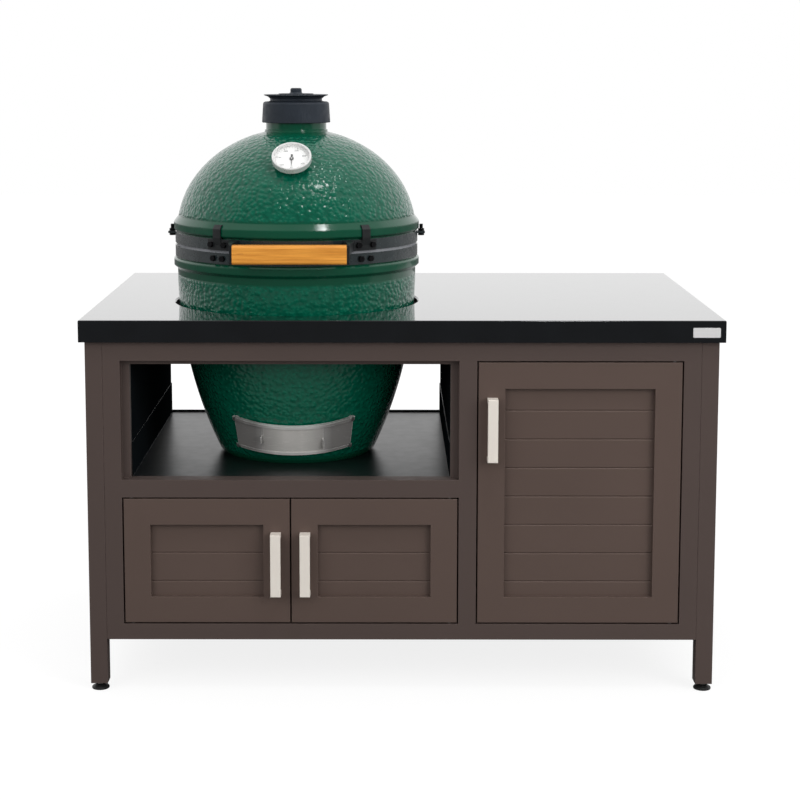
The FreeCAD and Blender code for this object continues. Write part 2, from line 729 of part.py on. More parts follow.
def foot(sign_x, sign_y):
    middle = Vector(sign_x * (FRAME_X - LEG / 2), sign_y * (FRAME_Y - LEG / 2), 0)
    nut_top = FOOT_HEIGHT - REST_GAP
    face = section((0, 0), [
        (FOOT_RADIUS, 0), (FOOT_RADIUS, FOOT_RIM - 1), (FOOT_RADIUS - 2, FOOT_RIM),
        (FOOT_NECK_RADIUS, nut_top - 5), (FOOT_NECK_RADIUS, nut_top),
        (FOOT_STEM_RADIUS, nut_top), (FOOT_STEM_RADIUS, FOOT_STEM_LENGTH), (0, FOOT_STEM_LENGTH)])
    return turned(face, middle)


# Kamado ceramics

def circle_through(a, b, c):
    """Centre and radius of the circle through three (r, z) points."""
    ax, ay = a
    bx, by = b
    cx, cy = c
    d = 2 * (ax * (by - cy) + bx * (cy - ay) + cx * (ay - by))
    ux = ((ax**2 + ay**2) * (by - cy) + (bx**2 + by**2) * (cy - ay) + (cx**2 + cy**2) * (ay - by)) / d
    uy = ((ax**2 + ay**2) * (cx - bx) + (bx**2 + by**2) * (ax - cx) + (cx**2 + cy**2) * (bx - ax)) / d
    return ux, uy, math.hypot(ax - ux, ay - uy)


def bowl_points():
    low = (BOWL_LOW_RADIUS, BOWL_BOTTOM + BOWL_CORNER)
    middle = (BOWL_MID_RADIUS, BOWL_BOTTOM + BOWL_MID_HEIGHT)
    top = (BOWL_TOP_RADIUS, BOWL_BOTTOM + BOWL_TOP_HEIGHT)
    return low, middle, top


def bowl_radius(z):
    x, y, radius = circle_through(*bowl_points())
    return x + math.sqrt(radius**2 - (z - y)**2)


def bowl_lean(z):
    """Angle between the bowl's outline and the vertical, in degrees."""
    x, y, radius = circle_through(*bowl_points())
    return math.degrees(math.asin((y - z) / radius))


def inner_bowl_radius(z):
    x, y, radius = circle_through(*bowl_points())
    return x + math.sqrt((radius - CERAMIC_WALL)**2 - (z - y)**2)


def ceramic_base():
    low, middle, top = bowl_points()
    floor = BOWL_BOTTOM + BOWL_FLOOR
    rim_low = LOWER_RIM_TOP - LOWER_RIM_HEIGHT
    outer = [
        (FOOT_RING_RADIUS, BOWL_BOTTOM), low, (middle, top), (top[0], rim_low),
        (RIM_RADIUS, rim_low + RIM_BLEND), (RIM_RADIUS, LOWER_RIM_TOP - RIM_BLEND / 2),
        (RIM_RADIUS - RIM_BLEND / 2, LOWER_RIM_TOP), (REBATE_RADIUS, LOWER_RIM_TOP),
        (REBATE_RADIUS, BASE_TOP)]
    inner = [(INNER_RADIUS, BASE_TOP), (INNER_RADIUS, top[1])]
    for k in range(BOWL_INNER_STEPS, -1, -1):
        z = floor + k * (top[1] - floor) / (BOWL_INNER_STEPS + 1)
        inner.append((inner_bowl_radius(z), z))
    solid = turned(section((0, BOWL_BOTTOM), outer + inner + [(0, floor)]))
    return solid.cut(draft_window())


def draft_window():
    """Air inlet through the wall of the bowl, square to its slope."""
    reach = draft_radius() + DRAFT_STANDOFF / 2
    depth = CERAMIC_WALL + 30
    cutter = draft_sector(
        reach - depth, reach, -DRAFT_WINDOW_HALF, DRAFT_WINDOW_HALF,
        DRAFT_WINDOW_LEFT_ANGLE, DRAFT_WINDOW_RIGHT_ANGLE)
    return draft_placed(cutter)


def ellipse_point(span, rise, angle):
    turn = math.radians(angle)
    return (span * math.cos(turn), DOME_CENTRE_HEIGHT + rise * math.sin(turn))


def ellipse_chords(span, rise, start, end, pieces):
    return [ellipse_point(span, rise, start + (k + 1) * (end - start) / pieces) for k in range(pieces)]


def ellipse_steps(span, rise, start, end, pieces):
    """Arcs along the dome's outline from one angle to another."""
    steps = []
    stride = (end - start) / pieces
    for k in range(pieces):
        a = start + k * stride
        steps.append((ellipse_point(span, rise, a + stride / 2), ellipse_point(span, rise, a + stride)))
    return steps


def dome_angle(radius, span):
    return math.degrees(math.acos(radius / span))


def shoulder_angle():
    return math.degrees(math.asin((UPPER_RIM_TOP + RIM_BLEND - DOME_CENTRE_HEIGHT) / DOME_RISE))


def dome_shoulder():
    """Where the rim's bevel runs out into the dome's outline."""
    return ellipse_point(DOME_SPAN, DOME_RISE, shoulder_angle())


def rim_bevel_radius(z):
    low = UPPER_RIM_TOP - RIM_BLEND
    radius, high = dome_shoulder()
    return RIM_RADIUS + (radius - RIM_RADIUS) * (z - low) / (high - low)


def ceramic_dome():
    inner_span = INNER_RADIUS
    inner_rise = DOME_RISE - CERAMIC_WALL
    neck_angle = dome_angle(NECK_ROOT_RADIUS, DOME_SPAN)
    root_z = ellipse_point(DOME_SPAN, DOME_RISE, neck_angle)[1]
    throat = dome_angle(CHIMNEY_RADIUS, inner_span)
    bead = NECK_BEAD_RADIUS
    steps = [
        (REBATE_RADIUS, DOME_BOTTOM), (REBATE_RADIUS, UPPER_RIM_BOTTOM),
        (RIM_RADIUS - RIM_BLEND / 2, UPPER_RIM_BOTTOM), (RIM_RADIUS, UPPER_RIM_BOTTOM + RIM_BLEND / 2),
        (RIM_RADIUS, UPPER_RIM_TOP - RIM_BLEND), dome_shoulder()]
    steps += ellipse_steps(DOME_SPAN, DOME_RISE, shoulder_angle(), neck_angle, 3)
    steps += [
        (bead, root_z + 2), (bead, root_z + 6), (NECK_RADIUS, root_z + 8),
        (NECK_RADIUS, NECK_TOP), (CHIMNEY_RADIUS, NECK_TOP),
        ellipse_point(inner_span, inner_rise, throat)]
    steps += ellipse_chords(inner_span, inner_rise, throat, 0, DOME_INNER_STEPS)
    solid = turned(section((INNER_RADIUS, DOME_BOTTOM), steps))
    bore = Part.makeCylinder(
        THERMO_STEM_RADIUS + REST_GAP, 6 * CERAMIC_WALL,
        thermo_point(3 * CERAMIC_WALL), thermo_axis() * -1)
    return solid.cut(bore)


def gasket(z0):
    return ring(REBATE_RADIUS - GASKET_WIDTH, REBATE_RADIUS, z0, z0 + GASKET)


# Fire parts

def fire_box():
    z0 = BOWL_BOTTOM + BOWL_FLOOR
    z1 = FIREBOX_TOP
    ledge = z0 + FIREBOX_FLOOR
    slope = (FIREBOX_TOP_RADIUS - FIREBOX_FOOT_RADIUS) / (z1 - z0)
    ledge_radius = FIREBOX_FOOT_RADIUS + slope * FIREBOX_FLOOR - FIREBOX_WALL
    face = section((FIREBOX_HOLE_RADIUS, z0), [
        (FIREBOX_FOOT_RADIUS, z0), (FIREBOX_TOP_RADIUS, z1), (FIREBOX_TOP_RADIUS - FIREBOX_WALL, z1),
        (ledge_radius, ledge), (FIREBOX_HOLE_RADIUS, ledge)])
    solid = turned(face)
    level = z0 + 2.5 * FIREBOX_FLOOR
    for k in range(FIREBOX_AIR_HOLES):
        hole = Part.makeCylinder(
            FIREBOX_AIR_HOLE_RADIUS, FIREBOX_TOP_RADIUS, Vector(EGG_X, EGG_Y, level), Vector(0, -1, 0))
        solid = solid.cut(about_egg(hole, (k + 0.5) * 360 / FIREBOX_AIR_HOLES))
    notch = box(
        EGG_X - FIREBOX_NOTCH_WIDTH / 2, EGG_X + FIREBOX_NOTCH_WIDTH / 2,
        EGG_Y - FIREBOX_TOP_RADIUS, EGG_Y, z0 - 1, z0 + FIREBOX_NOTCH_HEIGHT)
    return solid.cut(notch)


def fire_ring():
    return ring(FIRE_RING_RADIUS - FIREBOX_WALL, FIRE_RING_RADIUS, FIREBOX_TOP, FIRE_RING_TOP)


def fire_grate():
    z0 = BOWL_BOTTOM + BOWL_FLOOR + FIREBOX_FLOOR
    plate = disc(GRATE_RADIUS, z0, z0 + GRATE_THICKNESS)
    pitch = 2 * FIREBOX_HOLE_RADIUS / GRATE_SLOTS
    for k in range(GRATE_SLOTS):
        x = (k + 0.5) * pitch - FIREBOX_HOLE_RADIUS
        half = math.sqrt(FIREBOX_HOLE_RADIUS**2 - x**2)
        plate = plate.cut(box(
            EGG_X + x - GRATE_SLOT_WIDTH / 2, EGG_X + x + GRATE_SLOT_WIDTH / 2,
            EGG_Y - half, EGG_Y + half, z0 - 1, z0 + GRATE_THICKNESS + 1))
    return plate


def octagon(r, z, half):
    """Corners of an octagon about (r, z), half its width across the flats away."""
    size = half / math.cos(math.radians(22.5))
    turns = [math.radians(45 * k + 22.5) for k in range(8)]
    return [(r + size * math.cos(turn), z + size * math.sin(turn)) for turn in turns]


def grid_rod(x0, y0, x1, y1, z):
    start = Vector(EGG_X + x0, EGG_Y + y0, z)
    run = Vector(x1 - x0, y1 - y0, 0)
    return Part.makeCylinder(GRID_ROD, run.Length, start, run)


def cooking_grid():
    """A rim of eight-sided bar, thinner bars welded on top, and two bars across under them."""
    mean = GRID_RADIUS - GRID_RING_ROD
    corners = octagon(mean, FIRE_RING_TOP + GRID_RING_ROD, GRID_RING_ROD)
    rim = turned(section(corners[0], corners[1:]))
    level = FIRE_RING_TOP + 2 * GRID_RING_ROD + GRID_ROD
    bars = [rim]
    for k in range(GRID_RODS):
        x = (k + 1) * 2 * mean / (GRID_RODS + 1) - mean
        half = math.sqrt(mean**2 - x**2)
        bars.append(grid_rod(x, -half, x, half, level))
    for y in (-GRID_CROSS_OFFSET, GRID_CROSS_OFFSET):
        half = math.sqrt((mean - GRID_RING_ROD)**2 - (abs(y) + GRID_ROD)**2)
        bars.append(grid_rod(-half, y, half, y, level - 2 * GRID_ROD))
    return group(bars)


# Draft door

def draft_radius():
    """Radius of the cylinder that follows the bowl's front at the middle of the slide."""
    return bowl_radius(DRAFT_HEIGHT) / math.cos(math.radians(bowl_lean(DRAFT_HEIGHT)))


def draft_sector(r0, r1, z0, z1, left, right):
    """A curved block about the local vertical axis. Angle 0 faces the front."""
    face = section((r0, z0), [(r1, z0), (r1, z1), (r0, z1)])
    return turned(face, Vector(0, 0, 0), right - left, left - 90)


def draft_placed(shape):
    """Moves a shape from the slide's own upright frame to its place on the bowl."""
    lean = bowl_lean(DRAFT_HEIGHT)
    lift = bowl_radius(DRAFT_HEIGHT) * math.tan(math.radians(lean))
    copy = shape.copy()
    copy.rotate(Vector(0, 0, 0), Vector(1, 0, 0), lean)
    copy.translate(Vector(EGG_X, EGG_Y, DRAFT_HEIGHT + lift))
    return copy


def draft_layers():
    """Inner radii of the frame plate, the screen, the door and the front lips."""
    plate = draft_radius() + DRAFT_STANDOFF
    screen = plate + DRAFT_PLATE + DRAFT_LAYER_GAP
    door = screen + DRAFT_LEAF + DRAFT_LAYER_GAP
    lips = door + DRAFT_LEAF + DRAFT_LAYER_GAP
    return plate, screen, door, lips


def draft_boss_places():
    """Angle and height of the four corner bolts, in the slide's frame."""
    low = DRAFT_LOW_END_ANGLE - 1.2
    high = DRAFT_END_ANGLE - 1.8
    drop = DRAFT_HALF - DRAFT_LIP / 2
    return ((-high, drop), (high, drop), (-low, -drop), (low, -drop))


def draft_rod(angle, level, r0, r1, radius):
    turn = math.radians(angle)
    direction = Vector(math.sin(turn), -math.cos(turn), 0)
    return Part.makeCylinder(radius, r1 - r0, direction * r0 + Vector(0, 0, level), direction)


def draft_door_frame(base):
    """Slotted plate on four bosses, with a lip above and below that holds the slides."""
    plate, screen, door, lips = draft_layers()
    front = lips + DRAFT_LEAF
    body = draft_sector(plate, front, -DRAFT_HALF, DRAFT_HALF, -DRAFT_END_ANGLE, DRAFT_END_ANGLE)
    room = draft_sector(
        plate + DRAFT_PLATE, lips, -DRAFT_HALF + DRAFT_LEAF, DRAFT_HALF - DRAFT_LEAF,
        -DRAFT_END_ANGLE - 2, DRAFT_END_ANGLE + 2)
    face = draft_sector(
        lips - 1, front + 1, -DRAFT_HALF + DRAFT_LIP, DRAFT_HALF - DRAFT_LIP,
        -DRAFT_END_ANGLE - 2, DRAFT_END_ANGLE + 2)
    window = draft_sector(
        plate - 1, screen, -DRAFT_WINDOW_HALF, DRAFT_WINDOW_HALF,
        DRAFT_WINDOW_LEFT_ANGLE, DRAFT_WINDOW_RIGHT_ANGLE)
    body = cut_all(body, [room, face, window])
    for sign in (-1, 1):
        body = body.cut(end_trim(sign, front))
    for angle, level in draft_boss_places():
        root = plate - DRAFT_BOSS_REACH
        body = body.fuse(draft_rod(angle, level, root, plate + DRAFT_PLATE / 2, DRAFT_BOSS_RADIUS))
    return draft_placed(body.removeSplitter()).cut(base)


def end_trim(sign, reach):
    """Cuts an end of the slide on a slant, narrower at the bottom."""
    def at(angle, z, r):
        turn = math.radians(sign * angle)
        return Vector(r * math.sin(turn), -r * math.cos(turn), z)
    far = reach + 20
    near = reach - 40
    high = DRAFT_HALF + 1
    rows = ((DRAFT_LOW_END_ANGLE, -high), (DRAFT_END_ANGLE, high))
    lines = []
    for angle, z in rows:
        outer = angle + 8
        quad = [at(angle, z, near), at(angle, z, far), at(outer, z, far), at(outer, z, near)]
        lines.append(Part.makePolygon(quad + [quad[0]]))
    return Part.makeLoft(lines, True, True)


def draft_door():
    radius = draft_layers()[2]
    half = DRAFT_HALF - DRAFT_LEAF - REST_GAP
    leaf = draft_sector(radius, radius + DRAFT_LEAF, -half, half, -DRAFT_DOOR_ANGLE, DRAFT_DOOR_ANGLE)
    tab = draft_sector(
        radius, radius + DRAFT_TAB_OUT, -DRAFT_TAB_HEIGHT, 0, DRAFT_DOOR_ANGLE - 0.6, DRAFT_DOOR_ANGLE)
    return draft_placed(fused(leaf, [tab]))


def draft_screen():
    radius = draft_layers()[1]
    half = DRAFT_HALF - DRAFT_LEAF - REST_GAP
    left = -DRAFT_DOOR_ANGLE - 1.2
    leaf = draft_sector(radius, radius + DRAFT_LEAF, -half, half, left, SCREEN_RIGHT_ANGLE)
    width = (DRAFT_WINDOW_RIGHT_ANGLE - DRAFT_WINDOW_LEFT_ANGLE) / SCREEN_SLOTS
    for k in range(SCREEN_SLOTS):
        middle = DRAFT_WINDOW_LEFT_ANGLE + (k + 0.5) * width
        slot = draft_sector(
            radius - 1, radius + DRAFT_LEAF + 1, -DRAFT_WINDOW_HALF, DRAFT_WINDOW_HALF,
            middle - SCREEN_SLOT_ANGLE / 2, middle + SCREEN_SLOT_ANGLE / 2)
        leaf = leaf.cut(slot)
    tab = draft_sector(
        radius, radius + DRAFT_TAB_OUT, -DRAFT_TAB_HEIGHT / 2, DRAFT_TAB_HEIGHT / 4, left, left + 0.6)
    return draft_placed(fused(leaf, [tab]))


# Bands, bolts and brackets

def band(z0):
    return ring(BAND_RADIUS, BAND_FACE, z0, z0 + BAND_HEIGHT)


def lug_height():
    return DOME_BOTTOM + 0.8 * BAND_HEIGHT


def upper_band():
    """Two half hoops joined at the sides, where each pair of lugs is bolted."""
    solid = band(DOME_BOTTOM)
    z0 = lug_height() - LUG_THICKNESS / 2
    for sign in (-1, 1):
        x0, x1 = sorted((sign * (BAND_RADIUS + 1), sign * (BAND_FACE + LUG_REACH)))
        lug = box(
            EGG_X + x0, EGG_X + x1, EGG_Y - LUG_WIDTH / 2, EGG_Y + LUG_WIDTH / 2, z0, z0 + LUG_THICKNESS)
        bolt = disc(BOLT_SHANK_RADIUS, z0 - 1, z0 + LUG_THICKNESS + 1, lug_centre(sign))
        solid = solid.fuse(lug).cut(bolt)
    return solid.removeSplitter()


def lug_centre(sign):
    return Vector(EGG_X + sign * (BAND_FACE + LUG_REACH / 2), EGG_Y, 0)


def lug_bolts():
    bolts = []
    z0 = lug_height() - LUG_THICKNESS / 2
    for sign in (-1, 1):
        centre = lug_centre(sign)
        low = z0 - BOLT_HEAD
        shank = disc(BOLT_SHANK_RADIUS, low, low + LUG_BOLT_LENGTH, centre)
        nut = hexagon(BOLT_HEAD_RADIUS, Vector(centre.x, centre.y, low), UP, BOLT_HEAD)
        head = hexagon(BOLT_HEAD_RADIUS, Vector(centre.x, centre.y, z0 + LUG_THICKNESS), UP, BOLT_HEAD)
        bolts.append(fused(shank, [nut, head]))
    return bolts


def radial_bolt(angle, z, radius):
    """A hexagon head on the outside of a band."""
    base = Vector(EGG_X, EGG_Y - radius, z)
    return about_egg(hexagon(BOLT_HEAD_RADIUS, base, Vector(0, -1, 0), BOLT_HEAD), angle)


def dome_bolts():
    level = DOME_BOTTOM + BAND_HEIGHT - BOLT_FROM_EDGE
    bolts = lug_bolts()
    for sign in (-1, 1):
        for side in (-1, 1):
            angle = sign * BRACKET_STRAP_ANGLE + side * BOLT_SPREAD_ANGLE
            bolts.append(radial_bolt(angle, level, BAND_FACE + REST_GAP + BRACKET_THICKNESS))
    return group(bolts)


def base_bolts():
    level = LOWER_BAND_BOTTOM + BAND_HEIGHT / 2
    bolts = []
    for sign in (-1, 1):
        for side in (-1, 1):
            angle = sign * LOWER_BOLT_ANGLE + side * LOWER_BOLT_SPREAD_ANGLE
            bolts.append(radial_bolt(angle, level, BAND_FACE))
    front = draft_layers()[3] + DRAFT_LEAF
    for angle, z in draft_boss_places():
        head = draft_rod(angle, z, front, front + SMALL_BOLT_HEAD, SMALL_BOLT_RADIUS)
        bolts.append(draft_placed(head))
    return group(bolts)


def handle_span():
    """Y of the handle's front and back, Z of its bottom and top."""
    back = EGG_Y - BAND_FACE - HANDLE_CLEARANCE
    middle = DOME_BOTTOM + BAND_HEIGHT / 2 + HANDLE_LIFT
    return back - HANDLE_DEPTH, back, middle - HANDLE_HEIGHT / 2, middle + HANDLE_HEIGHT / 2


def wood_handle():
    y0, y1, z0, z1 = handle_span()
    half = HANDLE_LENGTH / 2
    bar = box(EGG_X - half, EGG_X + half, y0, y1, z0, z1)
    long_edges = [e for e in bar.Edges if e.BoundBox.XLength > HANDLE_LENGTH - 1]
    bar = bar.makeFillet(HANDLE_ROUND, long_edges)
    for sign in (-1, 1):
        bar = bar.cut(handle_spigot(sign, SPIGOT_LENGTH + 1))
    return bar


def handle_spigot(sign, length):
    y0, y1, z0, z1 = handle_span()
    start = Vector(EGG_X + sign * HANDLE_LENGTH / 2, (y0 + y1) / 2, (z0 + z1) / 2)
    return Part.makeCylinder(SPIGOT_RADIUS, length, start, Vector(-sign, 0, 0))


def on_band(angle, radius, z):
    turn = math.radians(angle)
    return Vector(EGG_X + radius * math.sin(turn), EGG_Y - radius * math.cos(turn), z)


def handle_bracket(sign):
    """Cast bracket: a foot on the band, a strap over the rim, an arm and an end plate."""
    y0, y1, z0, z1 = handle_span()
    end = EGG_X + sign * HANDLE_LENGTH / 2
    outside = end + sign * BRACKET_PLATE
    low = DOME_BOTTOM
    plate = box(
        min(end, outside), max(end, outside), y0 + 2, y1 + 2, z0 + 1, low + BRACKET_HEIGHT)
    plate = plate.makeFillet(4.0, [e for e in plate.Edges if e.BoundBox.XLength > BRACKET_PLATE - 0.1])
    face = BAND_FACE + REST_GAP
    foot_face = section((face, low), [
        (face + BRACKET_THICKNESS, low), (face + BRACKET_THICKNESS, low + BRACKET_HEIGHT),
        (face, low + BRACKET_HEIGHT)])
    left, right = sorted((sign * BRACKET_NEAR_ANGLE, sign * BRACKET_FAR_ANGLE))
    foot_pad = turned(foot_face, EGG, right - left, left - 90)
    arm_foot = on_band(sign * BRACKET_NEAR_ANGLE, face + BRACKET_THICKNESS / 2, low)
    arm_knee = on_band(sign * (BRACKET_NEAR_ANGLE + BRACKET_ROOT_ANGLE), face + BRACKET_THICKNESS / 2, low)
    arm_points = [
        arm_foot, arm_knee, Vector(outside, y0 + 4, low), Vector(end, y0 + 4, low),
        Vector(end, y1 + 1, low)]
    arm = prism(arm_points, Vector(0, 0, BRACKET_HEIGHT))
    relief = prism(
        [Vector(p.x, p.y, low + BRACKET_WEB) for p in arm_points],
        Vector(0, 0, BRACKET_HEIGHT - 2 * BRACKET_WEB))
    relief.translate(Vector(sign * -BRACKET_WEB, 0, 0))
    strap = bracket_strap(sign)
    solid = fused(plate, [foot_pad, arm.cut(relief), strap])
    return fused(solid, [handle_spigot(sign, SPIGOT_LENGTH)])


def bracket_strap(sign):
    """The strap that rises from the bracket's foot and hooks over the rim of the dome."""
    low = DOME_BOTTOM + BRACKET_HEIGHT / 2
    base = BAND_FACE + REST_GAP
    rim = RIM_RADIUS + REST_GAP
    thick = BRACKET_THICKNESS
    bend = UPPER_RIM_TOP - RIM_BLEND
    tip = UPPER_RIM_TOP + BRACKET_HOOK
    tip_radius = rim_bevel_radius(tip) + 2 * REST_GAP
    face = section((base, low), [
        (base + thick, low), (rim + thick, UPPER_RIM_BOTTOM), (rim + thick, bend),
        (tip_radius + thick, tip), (tip_radius, tip), (rim, bend), (rim, UPPER_RIM_BOTTOM + 2),
        (base, UPPER_RIM_BOTTOM - RIM_SHOULDER)])
    half = math.degrees(math.asin(BRACKET_STRAP_WIDTH / 2 / rim))
    return turned(face, EGG, 2 * half, sign * BRACKET_STRAP_ANGLE - half - 90)


def handle_brackets():
    return group([handle_bracket(-1), handle_bracket(1)])


# Rear hinge

def hinge_cheek(points, x0):
    """A cheek plate with a round boss at the hinge pin."""
    outline = [Vector(x0, y, z) for y, z in points]
    plate = prism(outline, Vector(HINGE_PLATE, 0, 0))
    boss = Part.makeCylinder(HINGE_BOSS_RADIUS, HINGE_PLATE, Vector(x0, HINGE_Y, HINGE_Z), Vector(1, 0, 0))
    return plate.fuse(boss)


def hinge_hole(radius):
    reach = HINGE_HALF + 4 * HINGE_PLATE
    return Part.makeCylinder(radius, 2 * reach, Vector(EGG_X - reach, HINGE_Y, HINGE_Z), Vector(1, 0, 0))


def hinge_foot(z0, z1):
    """A plate that follows the back of a band."""
    r0 = BAND_FACE + REST_GAP
    face = section((r0, z0), [(r0 + HINGE_PLATE, z0), (r0 + HINGE_PLATE, z1), (r0, z1)])
    return turned(face, EGG, 2 * HINGE_FOOT_ANGLE, 90 - HINGE_FOOT_ANGLE)


def hinge_bracket_lower():
    z0 = LOWER_BAND_BOTTOM
    root = EGG_Y + BAND_FACE * math.cos(math.radians(HINGE_FOOT_ANGLE))
    boss = HINGE_BOSS_RADIUS
    points = [
        (root, z0), (root, BASE_TOP), (HINGE_Y - 0.6 * boss, HINGE_Z + 0.8 * boss),
        (HINGE_Y + 0.8 * boss, HINGE_Z + 0.6 * boss), (HINGE_Y + boss, HINGE_Z - 0.3 * boss),
        (HINGE_Y - boss, z0)]
    foot_plate = hinge_foot(z0, BASE_TOP)
    cheeks = [
        hinge_cheek(points, EGG_X - HINGE_HALF - HINGE_PLATE), hinge_cheek(points, EGG_X + HINGE_HALF)]
    rail = box(
        EGG_X - HINGE_HALF - 1, EGG_X + HINGE_HALF + 1, HINGE_Y - 2.2 * boss, HINGE_Y - boss,
        z0, z0 + HINGE_PLATE)
    solid = fused(foot_plate, cheeks + [rail])
    return solid.cut(hinge_hole(HINGE_PIN_RADIUS)).cut(disc(BAND_FACE + REST_GAP, z0 - 1, BASE_TOP + 1))


def hinge_bracket_upper():
    z0 = DOME_BOTTOM + 1
    z1 = UPPER_BAND_TOP
    root = EGG_Y + BAND_FACE * math.cos(math.radians(HINGE_FOOT_ANGLE))
    boss = HINGE_BOSS_RADIUS
    points = [
        (root, z0), (root, z1), (HINGE_Y - 2 * boss, z1), (HINGE_Y + 0.5 * boss, HINGE_Z + 0.85 * boss),
        (HINGE_Y, HINGE_Z - 0.9 * boss), (HINGE_Y - 1.6 * boss, z0)]
    x = HINGE_HALF - HINGE_SIDE_PLAY
    cheeks = [hinge_cheek(points, EGG_X - x), hinge_cheek(points, EGG_X + x - HINGE_PLATE)]
    bar = box(
        EGG_X - x + 1, EGG_X + x - 1, HINGE_Y - 2.6 * boss, HINGE_Y - 2 * boss, z1 - HINGE_PLATE, z1)
    solid = fused(hinge_foot(z0, z1), cheeks + [bar])
    solid = solid.cut(disc(BAND_FACE + REST_GAP, z0 - 1, z1 + 1))
    return solid.cut(hinge_hole(HINGE_PIN_RADIUS + RUN_CLEARANCE))


def hinge_pin():
    """Pin with a round head at each end, outside the cheeks."""
    reach = HINGE_HALF + HINGE_PLATE
    along = Vector(1, 0, 0)
    pin = Part.makeCylinder(HINGE_PIN_RADIUS, 2 * reach, Vector(EGG_X - reach, HINGE_Y, HINGE_Z), along)
    heads = []
    for x in (EGG_X - reach - SMALL_BOLT_HEAD, EGG_X + reach):
        heads.append(Part.makeCylinder(
            HINGE_PIN_RADIUS + 3, SMALL_BOLT_HEAD, Vector(x, HINGE_Y, HINGE_Z), along))
    return fused(pin, heads)


def coil_point(x0, side, turns):
    turn = 2 * math.pi * turns
    return Vector(
        x0 + side * SPRING_PITCH * turns, HINGE_Y + SPRING_RADIUS * math.sin(turn),
        HINGE_Z - SPRING_RADIUS * math.cos(turn))


def coil_direction(side, turns):
    turn = 2 * math.pi * turns
    direction = Vector(
        side * SPRING_PITCH, 2 * math.pi * SPRING_RADIUS * math.cos(turn),
        2 * math.pi * SPRING_RADIUS * math.sin(turn))
    return direction.normalize()


def tangent_arc(a, b, apex):
    """Arc from a to b whose end tangents meet at apex."""
    middle = (a + b) * 0.5
    out = apex - middle
    half_chord = (b - a).Length / 2
    half_angle = math.atan2(out.Length, half_chord)
    return Part.Arc(a, middle + out.normalize() * (half_chord * math.tan(half_angle / 2)), b).toShape()


def biarc(a, a_direction, b, b_direction):
    """Two arcs from a to b that keep the given directions at both ends."""
    v = b - a
    across = v.dot(a_direction + b_direction)
    turn = 2 * (1 - a_direction.dot(b_direction))
    reach = (math.sqrt(across**2 + turn * v.dot(v)) - across) / turn
    first = a + a_direction * reach
    second = b - b_direction * reach
    join = (first + second) * 0.5
    return [tangent_arc(a, join, first), tangent_arc(join, b, second)]


def spring_path(x0, side):
    """Leg along the lower bracket, a coil round the pin, and a leg along the upper bracket."""
    start = coil_point(x0, side, 0)
    end = coil_point(x0, side, SPRING_TURNS)
    edges = [Part.LineSegment(start - coil_direction(side, 0) * SPRING_LEG, start).toShape()]
    for k in range(round(2 * SPRING_TURNS)):
        a = k / 2
        b = a + 0.5
        edges += biarc(
            coil_point(x0, side, a), coil_direction(side, a),
            coil_point(x0, side, b), coil_direction(side, b))
    edges.append(Part.LineSegment(end, end + coil_direction(side, SPRING_TURNS) * SPRING_LEG).toShape())
    return Part.Wire(edges)


def hinge_spring(side):
    path = spring_path(EGG_X + side * SPRING_START, side)
    start = coil_point(EGG_X + side * SPRING_START, side, 0)
    direction = coil_direction(side, 0)
    foot_end = start - direction * SPRING_LEG
    across = direction.cross(UP).normalize()
    corners = []
    for k in range(SPRING_WIRE_SIDES):
        turn = 2 * math.pi * (k + 0.5) / SPRING_WIRE_SIDES
        corners.append(foot_end + (across * math.cos(turn) + UP * math.sin(turn)) * SPRING_WIRE_RADIUS)
    profile = Part.makePolygon(corners + [corners[0]])
    return path.makePipeShell([profile], True, False)


def least_gap():
    """Least gap between the turns of a spring, measured on points of its coil."""
    steps = 48
    points = [coil_point(0, 1, k / steps) for k in range(round(steps * SPRING_TURNS) + 1)]
    near = min(
        (points[i] - points[j]).Length
        for i in range(len(points)) for j in range(i + steps // 2, len(points)))
    return near - 2 * SPRING_WIRE_RADIUS


def hinge_springs():
    """Torsion springs that help to lift the dome."""
    print("hinge springs: least gap %.2f mm" % least_gap())
    return group([hinge_spring(-1), hinge_spring(1)])


# Thermometer

def thermo_foot_radius():
    return DOME_SPAN * math.sqrt(1 - (THERMO_RISE / DOME_RISE)**2)


def thermo_axis():
    """Square to the dome's outline at the thermometer's foot."""
    axis = Vector(0, -thermo_foot_radius() / DOME_SPAN**2, THERMO_RISE / DOME_RISE**2)
    return axis.normalize()


def thermo_point(out):
    """Point on the thermometer's axis, out from the dome's surface."""
    foot = Vector(EGG_X, EGG_Y - thermo_foot_radius(), DOME_CENTRE_HEIGHT + THERMO_RISE)
    return foot + thermo_axis() * out


def thermo_disc(radius, out, thickness):
    return Part.makeCylinder(radius, thickness, thermo_point(out), thermo_axis())


def thermometer_case():
    back = THERMO_STANDOFF
    case = thermo_disc(THERMO_RADIUS, back, THERMO_DEPTH)
    rounded = [e for e in case.Edges if e.Length > 6 * THERMO_RADIUS]
    case = case.makeChamfer(1.2, rounded)
    inside = thermo_disc(
        THERMO_RADIUS - THERMO_WALL, back + THERMO_WALL, THERMO_DEPTH - THERMO_WALL - THERMO_BEZEL_THICKNESS)
    mouth = thermo_disc(THERMO_RADIUS - THERMO_BEZEL, back + THERMO_WALL, THERMO_DEPTH)
    stem = thermo_disc(THERMO_STEM_RADIUS, back - THERMO_STEM_LENGTH, THERMO_STEM_LENGTH + 1)
    collar = thermo_disc(THERMO_COLLAR_RADIUS, 1.5, back - 1.5)
    pivot = thermo_disc(POINTER_PIVOT_RADIUS, back + THERMO_WALL - 1, pointer_level() - back + 1)
    solid = fused(case.cut(inside).cut(mouth), [stem, collar, pivot])
    return solid


def pointer_level():
    return THERMO_STANDOFF + THERMO_WALL + DIAL_THICKNESS + 1.4


